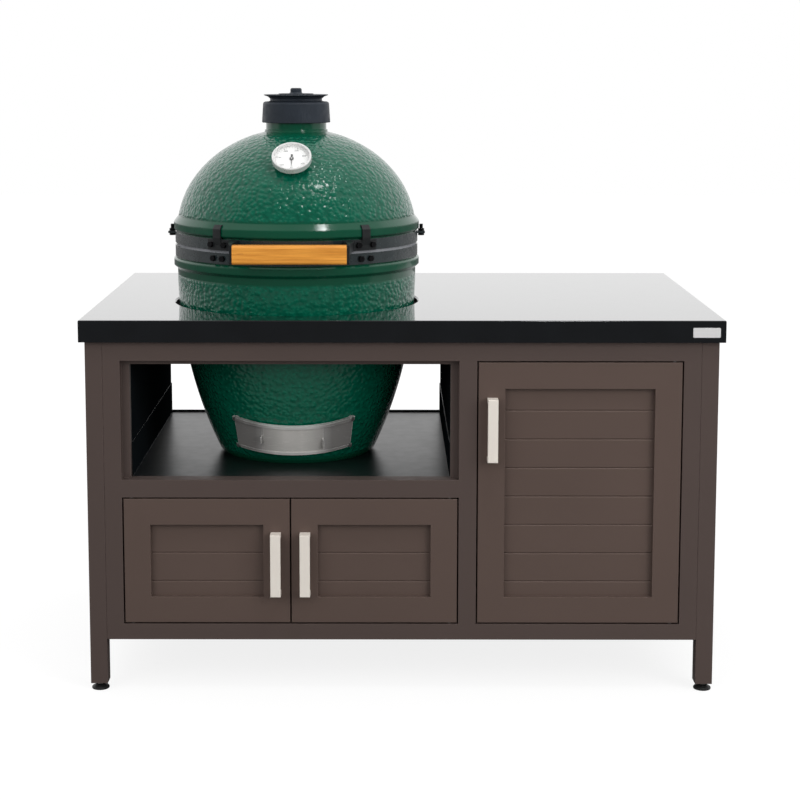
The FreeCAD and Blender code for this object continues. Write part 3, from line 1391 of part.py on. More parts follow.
def thermometer_dial():
    plate = thermo_disc(THERMO_RADIUS - THERMO_WALL - 0.2, THERMO_STANDOFF + THERMO_WALL, DIAL_THICKNESS)
    return plate.cut(thermo_disc(POINTER_PIVOT_RADIUS + 0.2, THERMO_STANDOFF, THERMO_DEPTH))


def thermometer_lens():
    top = THERMO_STANDOFF + THERMO_DEPTH - THERMO_BEZEL_THICKNESS
    return thermo_disc(THERMO_RADIUS - THERMO_WALL - 0.2, top - LENS_THICKNESS, LENS_THICKNESS)


def thermometer_pointer():
    """Needle with a short broad tail, pointing down when cold."""
    axis = thermo_axis()
    side = Vector(1, 0, 0)
    down = axis.cross(side) * -1
    if down.z > 0:
        down = down * -1
    base = thermo_point(pointer_level())
    tail = down * -POINTER_TAIL
    points = [
        base + tail + side * (POINTER_TAIL_WIDTH / 2), base + side * (POINTER_WIDTH / 2),
        base + down * POINTER_LENGTH, base - side * (POINTER_WIDTH / 2),
        base + tail - side * (POINTER_TAIL_WIDTH / 2)]
    needle = prism(points, axis * POINTER_THICKNESS)
    hub = thermo_disc(POINTER_HUB_RADIUS, pointer_level(), 1.5 * POINTER_THICKNESS)
    hole = thermo_disc(POINTER_PIVOT_RADIUS + RUN_CLEARANCE, pointer_level() - 1, 4)
    return fused(needle, [hub]).cut(hole)


# Vent cap

def lid_pivot():
    return Vector(EGG_X, EGG_Y + LID_PIVOT_OFFSET, 0)


def lid_levels():
    """Underside and top of the lid, and underside and top of the dial on it."""
    low = COLLAR_TOP + REST_GAP
    high = low + LID_THICKNESS
    dial = high + REST_GAP
    return low, high, dial, dial + DIAL_PLATE_THICKNESS


def vent_cap():
    bore = NECK_RADIUS + CAP_BORE_CLEARANCE
    face = section((bore, CAP_BOTTOM), [
        (CAP_LOW_RADIUS - 1, CAP_BOTTOM), (CAP_LOW_RADIUS, CAP_BOTTOM + 1),
        (CAP_TOP_RADIUS, CAP_SHOULDER - CAP_ROUND),
        (CAP_TOP_RADIUS - 0.3 * CAP_ROUND, CAP_SHOULDER - 0.3 * CAP_ROUND),
        (CAP_TOP_RADIUS - CAP_ROUND, CAP_SHOULDER),
        (COLLAR_RADIUS, CAP_SHOULDER), (COLLAR_WAIST, CAP_SHOULDER + 2), (COLLAR_WAIST, COLLAR_TOP - 4),
        (COLLAR_RADIUS, COLLAR_TOP), (CHIMNEY_RADIUS, COLLAR_TOP), (CHIMNEY_RADIUS, NECK_TOP),
        (bore, NECK_TOP)])
    solid = turned(face)
    low, high, _, _ = lid_levels()
    post = disc(LID_PIVOT_RADIUS, COLLAR_TOP - 1, high + REST_GAP, lid_pivot())
    head = disc(
        LID_PIVOT_HEAD_RADIUS, high + REST_GAP, high + REST_GAP + LID_PIVOT_HEAD, lid_pivot())
    return fused(solid, [post, head])


def vent_hole_set(z0, z1, start, radius):
    holes = []
    for k in range(VENT_HOLES):
        hole = disc(radius, z0, z1, Vector(EGG_X, EGG_Y - VENT_HOLE_CIRCLE, 0))
        holes.append(about_egg(hole, start + k * 360 / VENT_HOLES))
    return holes


def vent_lid():
    """Thin round lid, dished under its edge, that swings aside on the post."""
    low, high, _, _ = lid_levels()
    edge = high - 1.6
    face = section((0, low), [
        (COLLAR_RADIUS, low), (LID_RADIUS, edge), (LID_RADIUS, high), (0, high)])
    solid = turned(face)
    solid = cut_all(solid, vent_hole_set(low - 1, high + 1, 0, VENT_HOLE_RADIUS))
    solid = solid.cut(disc(LID_PIVOT_RADIUS + RUN_CLEARANCE, low - 1, high + 1, lid_pivot()))
    return solid.fuse(disc(DIAL_PIN_RADIUS, high - 1, high + DIAL_PIN_HEIGHT))


def vent_dial():
    """Round damper plate with its own holes and a knob, turning on the lid's pin."""
    _, high, low, top = lid_levels()
    face = section((0, low), [
        (DIAL_PLATE_RADIUS, low), (DIAL_PLATE_RADIUS, top - 1), (DIAL_PLATE_RADIUS - 1, top),
        (KNOB_BASE_RADIUS, top), (KNOB_TOP_RADIUS, top + 3),
        (KNOB_TOP_RADIUS, top + KNOB_HEIGHT - KNOB_ROUND),
        (KNOB_TOP_RADIUS - 0.3 * KNOB_ROUND, top + KNOB_HEIGHT - 0.3 * KNOB_ROUND),
        (KNOB_TOP_RADIUS - KNOB_ROUND, top + KNOB_HEIGHT), (0, top + KNOB_HEIGHT)])
    solid = turned(face)
    half_step = 180 / VENT_HOLES
    solid = cut_all(solid, vent_hole_set(low - 1, top + 1, half_step, VENT_HOLE_RADIUS))
    pin = disc(DIAL_PIN_RADIUS + RUN_CLEARANCE, low - 1, high + DIAL_PIN_HEIGHT + 1)
    return solid.cut(pin)


def build_table():
    save("countertop", countertop())
    save("edge_plate", edge_plate())
    save("leg_front_left", leg(-1, -1))
    save("leg_front_right", leg(1, -1))
    save("face_frame", face_frame())
    save("rear_frame", rear_frame())
    save("side_rails", side_rails())
    save("side_panel_left", side_panel(-1))
    save("side_panel_right", side_panel(1))
    save("bay_wall_left", outer_wall(-1))
    save("cabinet_wall_right", outer_wall(1))
    save("partition", partition())
    save("bay_shelf", bay_shelf())
    save("cabinet_floor", cabinet_floor())
    save("back_panel", back_panel())
    save("cabinet_shelf", cabinet_shelf())
    save("shelf_pins", shelf_pins())
    save("door_catches", door_catches())
    save("door_pins", door_pins())
    for name_y, sign_y in (("front", -1), ("rear", 1)):
        for name_x, sign_x in (("left", -1), ("right", 1)):
            save("foot_" + name_y + "_" + name_x, foot(sign_x, sign_y))


def build_kamado():
    base = ceramic_base()
    save("ceramic_base", base)
    save("base_gasket", gasket(BASE_TOP))
    save("lower_band", band(LOWER_BAND_BOTTOM))
    save("base_bolts", base_bolts())
    save("hinge_bracket_lower", hinge_bracket_lower())
    save("hinge_pin", hinge_pin())
    save("hinge_springs", hinge_springs())
    save("draft_door_frame", draft_door_frame(base))
    save("draft_door", draft_door())
    save("draft_screen", draft_screen())
    save("fire_box", fire_box())
    save("fire_ring", fire_ring())
    save("fire_grate", fire_grate())
    save("cooking_grid", cooking_grid())


def build_dome():
    save("ceramic_dome", ceramic_dome())
    save("dome_gasket", gasket(SEAL_HEIGHT + REST_GAP))
    save("upper_band", upper_band())
    save("dome_bolts", dome_bolts())
    save("hinge_bracket_upper", hinge_bracket_upper())
    save("handle_brackets", handle_brackets())
    save("wood_handle", wood_handle())
    save("thermometer_case", thermometer_case())
    save("thermometer_dial", thermometer_dial())
    save("thermometer_lens", thermometer_lens())
    save("thermometer_pointer", thermometer_pointer())
    save("vent_cap", vent_cap())
    save("vent_lid", vent_lid())
    save("vent_dial", vent_dial())


os.makedirs("parts", exist_ok=True)
build_table()
build_doors()
build_kamado()
build_dome()
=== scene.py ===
import json
import math
import bpy
from mathutils import Matrix, Vector


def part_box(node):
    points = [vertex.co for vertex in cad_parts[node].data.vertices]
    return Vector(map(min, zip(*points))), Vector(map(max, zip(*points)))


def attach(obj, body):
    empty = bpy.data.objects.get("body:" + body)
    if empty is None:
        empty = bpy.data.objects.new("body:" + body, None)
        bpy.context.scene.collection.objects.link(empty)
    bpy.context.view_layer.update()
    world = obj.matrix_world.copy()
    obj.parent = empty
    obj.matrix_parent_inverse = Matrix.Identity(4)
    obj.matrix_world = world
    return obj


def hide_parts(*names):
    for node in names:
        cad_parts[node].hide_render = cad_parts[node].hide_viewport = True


# Kamado grill table. Metres, the same frame as the CAD, front of the table towards -Y.

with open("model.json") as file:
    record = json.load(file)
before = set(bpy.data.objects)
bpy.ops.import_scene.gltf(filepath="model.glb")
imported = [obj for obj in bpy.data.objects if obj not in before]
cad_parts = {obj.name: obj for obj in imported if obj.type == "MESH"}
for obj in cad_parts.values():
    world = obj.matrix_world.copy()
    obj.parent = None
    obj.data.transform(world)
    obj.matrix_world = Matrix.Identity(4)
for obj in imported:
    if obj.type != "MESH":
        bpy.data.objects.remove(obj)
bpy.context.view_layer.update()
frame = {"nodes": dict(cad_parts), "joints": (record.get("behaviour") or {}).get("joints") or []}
NODES = frame["nodes"]
JOINTS = {joint["name"]: joint for joint in frame["joints"]}

# Places of the kamado
EGG = Vector((-0.238, -0.088, 0.0))
RIM_TOP = 1.011
DIMPLES_END = 1.196
BOWL_LOW = 0.478
BOWL_HIGH = 0.879
BOWL_BOLTS_BELOW = 0.7

# Green of the glaze, and a darker green for the smooth rims and neck that is painted shade.
GLAZE_GREEN = (0.001, 0.094, 0.054)
GLAZE_RIM_PAINTED_SHADE = (0.001, 0.062, 0.031)

# Thermometer dial
DIAL_DEPTH = 0.0013
DIAL_RADIUS = 0.0375
DIAL_START = 50
DIAL_STEP = 50
DIAL_NUMBERS = 7
DEGREES_PER_NUMBER = 50

# Hinge springs
HINGE = Vector(JOINTS["dome_hinge"]["pos_m"])
SPRING_RADIUS = 0.0073
SPRING_WIRE = 0.002
SPRING_TURNS = 3.5
SPRING_PITCH = 0.007
SPRING_START = 0.012
SPRING_LEG = 0.054
SPRING_STEPS = 80

# Levelling feet
FOOT_RADIUS = 0.019
FOOT_RIM = 0.005
FOOT_TOP = 0.0157
FOOT_STEM = 0.005
FOOT_STEM_TOP = 0.042
NUT_RADIUS = 0.0082

# Light
FRONT_GLOSS = 0.1
SIDE_GLOSS = 0.65
REAR_GLOSS = 1.0
CEILING_GLOSS = 0.5
AMBIENT_LOW = 0.33
AMBIENT_HIGH = 1.0
FLOOR_GREY = 0.18
FLOOR_WHITE = 0.84
FLOOR_HALF = 14.0
FILL_SIZE = (2.6, 2.6)

# Camera at the photograph's viewing angle
CAMERA_PLACE = (-0.034, -4.185, 1.358)
CAMERA_TILT = math.radians(90 - 6.95)
CAMERA_TURN = math.radians(0.22)
CAMERA_LENS = 80.8
CAMERA_SENSOR = 36.0
CAMERA_SHIFT = (0.0263, -0.15)


class Shader:
    """A material with one Principled shader and short ways to feed it."""

    def __init__(self, name, color, roughness, metallic=0.0):
        self.material = bpy.data.materials.new(name)
        self.material.use_nodes = True
        self.tree = self.material.node_tree
        self.bsdf = self.tree.nodes["Principled BSDF"]
        self.color = color
        self.set("Base Color", (*color, 1))
        self.set("Roughness", roughness)
        self.set("Metallic", metallic)
        place = self.add("ShaderNodeTexCoord")
        self.coords = place.outputs["Object"]
        self.normal = place.outputs["Normal"]

    def add(self, kind, **settings):
        node = self.tree.nodes.new(kind)
        for key, value in settings.items():
            setattr(node, key, value)
        return node

    def set(self, socket, value):
        self.bsdf.inputs[socket].default_value = value

    def link(self, source, target):
        self.tree.links.new(source, target)

    def scaled(self, stretch):
        """Object coordinates stretched along the axes."""
        mapping = self.add("ShaderNodeMapping")
        mapping.inputs["Scale"].default_value = stretch
        self.link(self.coords, mapping.inputs["Vector"])
        return mapping.outputs["Vector"]

    def noise(self, scale, detail=3.0, stretch=(1, 1, 1), rough=0.5):
        node = self.add("ShaderNodeTexNoise")
        node.inputs["Scale"].default_value = scale
        node.inputs["Detail"].default_value = detail
        node.inputs["Roughness"].default_value = rough
        self.link(self.scaled(stretch), node.inputs["Vector"])
        return node.outputs["Fac"]

    def voronoi(self, scale, feature="SMOOTH_F1", stretch=(1, 1, 1)):
        node = self.add("ShaderNodeTexVoronoi", feature=feature)
        node.inputs["Scale"].default_value = scale
        self.link(self.scaled(stretch), node.inputs["Vector"])
        return node.outputs["Distance"]

    def math(self, operation, a, b=0.0):
        node = self.add("ShaderNodeMath", operation=operation)
        for socket, value in zip(node.inputs, (a, b)):
            if isinstance(value, (int, float)):
                socket.default_value = value
            else:
                self.link(value, socket)
        return node.outputs[0]

    def blend(self, a, b, share):
        """Sum of two values, b weighted by share and a by the rest."""
        return self.math("ADD", self.math("MULTIPLY", a, 1 - share), self.math("MULTIPLY", b, share))

    def ranged(self, source, low, high, to_low, to_high):
        node = self.add("ShaderNodeMapRange")
        self.link(source, node.inputs["Value"])
        ends = (("From Min", low), ("From Max", high), ("To Min", to_low), ("To Max", to_high))
        for name, value in ends:
            node.inputs[name].default_value = value
        return node.outputs["Result"]

    def mixed(self, factor, a, b):
        """Colour a where factor is 0 and colour b where it is 1."""
        node = self.add("ShaderNodeMix", data_type="RGBA")
        self.link(factor, node.inputs["Factor"])
        for socket, value in ((node.inputs[6], a), (node.inputs[7], b)):
            if isinstance(value, tuple):
                socket.default_value = (*value, 1)
            else:
                self.link(value, socket)
        return node.outputs[2]

    def tinted(self, factor, amount):
        """The base colour, darker and lighter by amount as factor goes from 0 to 1."""
        dark = tuple(c * (1 - amount) for c in self.color)
        light = tuple(min(1.0, c * (1 + amount)) for c in self.color)
        return self.mixed(factor, dark, light)

    def paint(self, color):
        self.link(color, self.bsdf.inputs["Base Color"])

    def rough(self, factor, low, high):
        self.link(self.ranged(factor, 0.3, 0.7, low, high), self.bsdf.inputs["Roughness"])

    def bump(self, height, strength, distance, soft_edge=None):
        """Bump on top of edges that are rounded in the shading by soft_edge."""
        node = self.add("ShaderNodeBump")
        node.inputs["Strength"].default_value = strength
        node.inputs["Distance"].default_value = distance
        self.link(height, node.inputs["Height"])
        if soft_edge is not None:
            bevel = self.add("ShaderNodeBevel", samples=4)
            bevel.inputs["Radius"].default_value = soft_edge
            self.link(bevel.outputs["Normal"], node.inputs["Normal"])
        self.link(node.outputs["Normal"], self.bsdf.inputs["Normal"])

    def edge_wear_and_highlight(self, radius, strength):
        """A mask that rises on edges and corners, broken up by noise. It marks worn edges, and on the
        powder coat and the draft door's sheet it places painted highlights along edges.
        """
        bevel = self.add("ShaderNodeBevel", samples=4)
        bevel.inputs["Radius"].default_value = radius
        plain = self.add("ShaderNodeNewGeometry")
        dot = self.add("ShaderNodeVectorMath", operation="DOT_PRODUCT")
        self.link(bevel.outputs["Normal"], dot.inputs[0])
        self.link(plain.outputs["Normal"], dot.inputs[1])
        edge = self.ranged(dot.outputs["Value"], 0.97, 0.8, 0.0, strength)
        return self.math("MULTIPLY", edge, self.ranged(self.noise(60), 0.35, 0.65, 0.2, 1.0))

    def height(self):
        split = self.add("ShaderNodeSeparateXYZ")
        self.link(self.coords, split.inputs[0])
        return split.outputs["Z"]

    def facing_up(self):
        split = self.add("ShaderNodeSeparateXYZ")
        self.link(self.normal, split.inputs[0])
        return split.outputs["Z"]

    def between(self, low, high, blend):
        """1 between two heights, fading out over blend."""
        z = self.height()
        rise = self.ranged(z, low, low + blend, 0.0, 1.0)
        fall = self.ranged(z, high - blend, high, 1.0, 0.0)
        return self.math("MULTIPLY", rise, fall)


# Materials

def powder_coat(name, color):
    """Satin metallic powder coat with a fine orange peel, its edges painted lighter: partly wear, partly
    painted highlight along edges and slat lips.
    """
    shader = Shader(name, color, 0.45, metallic=0.15)
    shader.set("Specular IOR Level", 0.35)
    body = shader.tinted(shader.blend(shader.noise(3.5, 4), shader.noise(1400, 2), 0.4), 0.14)
    # Lighter colour for the edges: painted highlight along edges and slat lips, with some wear.
    light = tuple(min(1.0, c * 2.4) for c in color)
    shader.paint(shader.mixed(shader.edge_wear_and_highlight(0.002, 0.45), body, light))
    shader.rough(shader.noise(24), 0.4, 0.52)
    shader.bump(shader.noise(700, 2), 0.12, 0.0004, 0.0015)
    return shader.material


def black_sheet(name, roughness, flat_sheen, side_sheen):
    """Black powder coat of the folded sheets, with more sheen on faces that look up."""
    shader = Shader(name, (0.006, 0.0078, 0.009), roughness)
    sheen = shader.ranged(shader.facing_up(), 0.3, 0.9, side_sheen, flat_sheen)
    shader.link(sheen, shader.bsdf.inputs["Specular IOR Level"])
    dust = shader.ranged(shader.noise(5, 5), 0.5, 0.75, 0.0, 0.25)
    shader.paint(shader.mixed(dust, shader.tinted(shader.noise(9, 4), 0.35), (0.014, 0.014, 0.014)))
    shader.rough(shader.noise(40, 4), roughness - 0.015, roughness + 0.025)
    shader.bump(shader.noise(520, 2), 0.05, 0.0002, 0.0006)
    return shader.material


def polished_stone():
    """Black worktop with very fine pale specks, polished on top and honed on its edges."""
    shader = Shader("polished_black_stone", (0.004, 0.0048, 0.006), 0.06)
    shader.set("Coat Roughness", 0.03)
    polish = shader.ranged(shader.facing_up(), 0.5, 0.9, 0.0, 1.0)
    shader.link(polish, shader.bsdf.inputs["Coat Weight"])
    speck = shader.ranged(shader.voronoi(900, "F1"), 0.1, 0.02, 0.0, 0.5)
    shader.paint(shader.mixed(speck, shader.tinted(shader.noise(14, 5), 0.4), (0.03, 0.031, 0.034)))
    shader.rough(shader.noise(30, 4), 0.05, 0.11)
    shader.bump(shader.noise(45, 3), 0.03, 0.0008)
    return shader.material


def inside_mask(shader):
    """1 on surfaces that look towards the kamado's axis, 0 on the outside."""
    offset = shader.add("ShaderNodeVectorMath", operation="SUBTRACT")
    shader.link(shader.coords, offset.inputs[0])
    offset.inputs[1].default_value = EGG
    flat = shader.add("ShaderNodeVectorMath", operation="MULTIPLY")
    shader.link(offset.outputs[0], flat.inputs[0])
    flat.inputs[1].default_value = (1, 1, 0)
    dot = shader.add("ShaderNodeVectorMath", operation="DOT_PRODUCT")
    shader.link(flat.outputs[0], dot.inputs[0])
    shader.link(shader.normal, dot.inputs[1])
    return shader.math("LESS_THAN", dot.outputs["Value"], -0.004)


def green_glaze(name, dimple_low, dimple_high):
    """Green gloss glaze outside, painted darker on the smooth rims and neck as painted shade, and bare
    clay inside.
    """
    shader = Shader(name, GLAZE_GREEN, 0.12)
    shader.set("Coat Weight", 0.2)
    shader.set("Coat Roughness", 0.06)
    inside = inside_mask(shader)
    cells = shader.voronoi(115, stretch=(1, 1, 1.1))
    bumps = shader.blend(shader.ranged(cells, 0.08, 0.7, 1.0, 0.0), shader.noise(150, 2), 0.2)
    dimpled = shader.between(dimple_low, dimple_high, 0.006)
    pebbled = shader.math("MULTIPLY", bumps, dimpled)
    pooled = shader.ranged(cells, 0.15, 0.65, 1.0, 0.0)
    # Green of the dimpled zone. The smooth rims and neck take a darker green in the next line, which is
    # painted shade.
    thin = shader.tinted(shader.blend(pooled, shader.noise(6, 4), 0.5), 0.35)
    glaze = shader.mixed(dimpled, GLAZE_RIM_PAINTED_SHADE, thin)
    clay = shader.mixed(shader.noise(160, 4), (0.5, 0.43, 0.34), (0.64, 0.57, 0.47))
    shader.paint(shader.mixed(inside, glaze, clay))
    shine = shader.ranged(shader.noise(45, 3), 0.3, 0.7, 0.09, 0.17)
    dull = shader.math("MULTIPLY", inside, 0.85)
    shader.link(shader.math("MAXIMUM", shine, dull), shader.bsdf.inputs["Roughness"])
    shader.bump(pebbled, 1.0, 0.0027, 0.005)
    return shader.material


def black_steel(name, color, roughness, coat):
    """Gloss black coat on thick bent steel, rubbed grey at its edges."""
    shader = Shader(name, color, roughness, metallic=0.1)
    shader.set("Coat Weight", coat)
    shader.set("Coat Roughness", 0.2)
    body = shader.tinted(shader.noise(40, 4), 0.4)
    shader.paint(shader.mixed(shader.edge_wear_and_highlight(0.0012, 0.4), body, (0.06, 0.06, 0.06)))
    shader.rough(shader.noise(60, 4), roughness - 0.05, roughness + 0.1)
    shader.bump(shader.noise(900, 2), 0.15, 0.0003, 0.0006)
    return shader.material


def cast_iron(name, color, grain):
    """Sand-cast surface under a thin dark coat."""
    shader = Shader(name, color, 0.5, metallic=0.2)
    light = tuple(min(1.0, 2.0 * c) for c in color)
    body = shader.tinted(shader.noise(30, 5), 0.25)
    shader.paint(shader.mixed(shader.edge_wear_and_highlight(0.0015, 0.4), body, light))
    shader.rough(shader.noise(90, 4), 0.42, 0.6)
    shader.bump(shader.noise(grain, 5, rough=0.65), 0.3, 0.0006, 0.0012)
    return shader.material


def brushed(name, color, roughness, along, metallic=1.0):
    """Metal brushed along one axis: 0 is X, 1 is Y and 2 is Z. Lacquered if not fully metallic."""
    shader = Shader(name, color, roughness, metallic)
    stretch = [1.0, 1.0, 1.0]
    stretch[along] = 0.02
    lines = shader.noise(1500, 3, tuple(stretch))
    smudge = shader.noise(18, 4)
    shader.paint(shader.tinted(shader.blend(lines, smudge, 0.4), 0.12))
    streaks = shader.ranged(lines, 0.3, 0.7, roughness - 0.05, roughness + 0.07)
    touched = shader.ranged(smudge, 0.4, 0.7, 0.0, 0.05)
    shader.link(shader.math("ADD", streaks, touched), shader.bsdf.inputs["Roughness"])
    shader.bump(lines, 0.12, 0.0002, 0.0006)
    return shader.material


def sheet_with_painted_reflection(name, middle, ends, reflection_half, shade_half):
    """Rolled sheet of the draft door with a painted reflection: bright in the middle, painted shade
    towards its ends, painted streaks, and painted highlights on its edges.
    """
    shader = Shader(name, middle, 0.2, metallic=0.4)
    split = shader.add("ShaderNodeSeparateXYZ")
    shader.link(shader.coords, split.inputs[0])
    from_middle = shader.math("ABSOLUTE", shader.math("SUBTRACT", split.outputs["X"], EGG.x))
    # Painted shade that grows from the bright middle towards the ends.
    dull = shader.ranged(from_middle, reflection_half, shade_half, 0.0, 1.0)
    lines = shader.noise(1500, 3, (0.02, 0.02, 1))
    sheet = shader.mixed(dull, middle, ends)
    # Streaks of the darker end colour along the brushing lines and in patches: painted reflection.
    painted_streaks = shader.math("MULTIPLY", shader.blend(lines, shader.noise(30, 3), 0.5), 0.45)
    sheet = shader.mixed(painted_streaks, sheet, ends)
    # Near white on the edges: painted highlight.
    shader.paint(shader.mixed(shader.edge_wear_and_highlight(0.003, 1.0), sheet, (0.95, 0.94, 0.92)))
    shader.rough(lines, 0.16, 0.28)
    shader.bump(lines, 0.08, 0.0002, 0.0006)
    return shader.material


def bolt_steel():
    """Black plated hexagon heads, and bright ones on the draft door's frame."""
    shader = Shader("bolt_plating", (0.02, 0.02, 0.022), 0.3, metallic=0.9)
    low = shader.math("LESS_THAN", shader.height(), BOWL_BOLTS_BELOW)
    body = shader.tinted(shader.noise(200, 3), 0.3)
    worn = shader.mixed(shader.edge_wear_and_highlight(0.0008, 0.6), body, (0.25, 0.25, 0.25))
    shader.paint(shader.mixed(low, worn, (0.5, 0.5, 0.49)))
    shader.rough(shader.noise(120), 0.24, 0.38)
    shader.bump(shader.noise(800, 2), 0.1, 0.0003, 0.0006)
    return shader.material


def bamboo():
    """Laminated strips with fine long fibres and darker nodes."""
    shader = Shader("bamboo", (0.65, 0.28, 0.05), 0.45)
    shader.set("Coat Weight", 0.08)
    shader.set("Coat Roughness", 0.3)
    fibres = shader.noise(260, 5, (0.03, 1, 1), 0.7)
    strips = shader.add("ShaderNodeTexWave", wave_type="BANDS", bands_direction="Z", wave_profile="SAW")
    strips.inputs["Scale"].default_value = 16
    strips.inputs["Distortion"].default_value = 0.3
    shader.link(shader.coords, strips.inputs["Vector"])
    knots = shader.ranged(shader.noise(26, 2, (1, 0.2, 3)), 0.68, 0.74, 0.0, 0.4)
    grain = shader.mixed(shader.ranged(fibres, 0.3, 0.7, 0.0, 1.0), (0.5, 0.17, 0.014), (0.9, 0.4, 0.06))
    body = shader.mixed(shader.math("MULTIPLY", strips.outputs["Fac"], 0.2), grain, (0.5, 0.18, 0.02))
    shader.paint(shader.mixed(knots, body, (0.36, 0.13, 0.018)))
    shader.rough(fibres, 0.38, 0.52)
    shader.bump(fibres, 0.18, 0.0003)
    return shader.material


def fired_clay():
    """Rough pale refractory with patches of soot."""
    shader = Shader("fired_clay", (0.52, 0.4, 0.3), 0.85)
    soot = shader.ranged(shader.noise(9, 5), 0.45, 0.7, 0.0, 0.35)
    shader.paint(shader.mixed(soot, shader.tinted(shader.noise(140, 5), 0.18), (0.12, 0.1, 0.09)))
    shader.rough(shader.noise(60), 0.78, 0.92)
    shader.bump(shader.noise(520, 5, rough=0.7), 0.4, 0.0008)
    return shader.material


def felt():
    """Pressed grey fibres of the gaskets."""
    shader = Shader("felt", (0.3, 0.31, 0.33), 0.92)
    shader.set("Sheen Weight", 0.3)
    shader.paint(shader.mixed(shader.noise(700, 5, rough=0.8), (0.2, 0.21, 0.23), (0.42, 0.43, 0.46)))
    shader.bump(shader.noise(1100, 6, rough=0.8), 0.6, 0.0008)
    return shader.material


def enamel(name, color, spread):
    """Even baked enamel or printing ink."""
    shader = Shader(name, color, 0.36)
    shader.paint(shader.tinted(shader.noise(80, 3), spread))
    shader.rough(shader.noise(50), 0.3, 0.44)
    return shader.material


def clear_glass():
    """Thin flat lens, see-through by alpha, with faint smears."""
    shader = Shader("clear_glass", (0.9, 0.92, 0.92), 0.02)
    shader.paint(shader.tinted(shader.noise(60, 3), 0.04))
    shader.link(shader.ranged(shader.noise(12, 4), 0.3, 0.7, 0.04, 0.09), shader.bsdf.inputs["Alpha"])
    shader.rough(shader.noise(30, 4), 0.01, 0.04)
    return shader.material


def plastic(name, color):
    """Moulded plastic or rubber with a fine grain."""
    shader = Shader(name, color, 0.5)
    shader.paint(shader.tinted(shader.noise(50, 4), 0.25))
    shader.rough(shader.noise(70, 3), 0.42, 0.6)
    shader.bump(shader.noise(1300, 2), 0.15, 0.0003)
    return shader.material


FRAME_COAT = powder_coat("brown_frame_coat", (0.088, 0.064, 0.057))
DOOR_COAT = powder_coat("brown_door_coat", (0.108, 0.075, 0.063))
MATTE_BLACK = black_sheet("black_wall_coat", 0.7, 0.1, 0.0)
PANEL_BLACK = black_sheet("black_panel_coat", 0.42, 0.3, 0.3)
SHELF_BLACK = black_sheet("black_shelf_coat", 0.33, 1.0, 0.0)
STONE = polished_stone()
BAND_BLACK = black_steel("band_black", (0.018, 0.027, 0.03), 0.24, 1.0)
BRACKET_BLACK = black_steel("bracket_black", (0.011, 0.013, 0.014), 0.4, 0.2)
BOLTS = bolt_steel()
CAP_COAT = cast_iron("cap_coat", (0.023, 0.03, 0.041), 700)
GRATE_IRON = cast_iron("grate_iron", (0.035, 0.034, 0.033), 420)
BEZEL_STEEL = brushed("bezel_steel", (0.84, 0.84, 0.83), 0.28, 0, 0.5)
NICKEL = brushed("satin_nickel_brushed", (0.97, 0.86, 0.78), 0.42, 2, 0.25)
STAINLESS = brushed("stainless_brushed_x", (0.85, 0.84, 0.84), 0.34, 0, 0.4)
# The middle colour is a painted reflection and the end colour a painted shade.
SLIDE_STEEL = sheet_with_painted_reflection("slide_steel", (0.97, 0.945, 0.9), (0.3, 0.29, 0.28), 0.02, 0.1)
RUNNER_STEEL = sheet_with_painted_reflection("runner_steel", (0.98, 0.97, 0.95), (0.3, 0.29, 0.28), 0.04, 0.085)
GRID_STEEL = brushed("stainless_brushed_y", (0.6, 0.6, 0.6), 0.3, 1)
PLATED = brushed("plated_steel", (0.42, 0.42, 0.41), 0.3, 2)
BAMBOO = bamboo()
CLAY = fired_clay()
FELT = felt()
DIAL_WHITE = enamel("dial_enamel", (0.9, 0.9, 0.89), 0.03)
INK = enamel("ink_black", (0.015, 0.015, 0.016), 0.2)
FOOT_BLACK = plastic("foot_plastic_black", (0.012, 0.012, 0.012))

NODE_MATERIALS = {
    "countertop": STONE, "edge_plate": STAINLESS,
    "leg_front_left": FRAME_COAT, "leg_front_right": FRAME_COAT, "face_frame": FRAME_COAT,
    "rear_frame": FRAME_COAT, "side_rails": FRAME_COAT,
    "side_panel_left": DOOR_COAT, "side_panel_right": DOOR_COAT,
    "bay_wall_left": MATTE_BLACK, "cabinet_wall_right": MATTE_BLACK, "partition": MATTE_BLACK,
    "bay_shelf": SHELF_BLACK, "cabinet_floor": PANEL_BLACK, "back_panel": PANEL_BLACK,
    "cabinet_shelf": PANEL_BLACK, "shelf_pins": PLATED, "door_pins": PLATED,
    "door_catches": plastic("catch_plastic", (0.03, 0.03, 0.03)),
    "ceramic_base": green_glaze("base_glaze", BOWL_LOW, BOWL_HIGH),
    "ceramic_dome": green_glaze("dome_glaze", RIM_TOP, DIMPLES_END),
    "base_gasket": FELT, "dome_gasket": FELT,
    "lower_band": BAND_BLACK, "upper_band": BAND_BLACK, "base_bolts": BOLTS, "dome_bolts": BOLTS,
    "hinge_bracket_lower": BRACKET_BLACK, "hinge_bracket_upper": BRACKET_BLACK,
    "handle_brackets": BRACKET_BLACK, "hinge_pin": PLATED, "hinge_springs": PLATED,
    "draft_door_frame": RUNNER_STEEL, "draft_door": SLIDE_STEEL, "draft_screen": SLIDE_STEEL,
    "fire_box": CLAY, "fire_ring": CLAY, "fire_grate": GRATE_IRON, "cooking_grid": GRID_STEEL,
    "wood_handle": BAMBOO, "thermometer_case": BEZEL_STEEL, "thermometer_dial": DIAL_WHITE,
    "thermometer_lens": clear_glass(), "thermometer_pointer": INK,
    "vent_cap": CAP_COAT, "vent_lid": CAP_COAT, "vent_dial": CAP_COAT,
}
FEET = ("foot_front_left", "foot_front_right", "foot_rear_left", "foot_rear_right")
DOORS = ("left_door", "right_door", "cabinet_door")


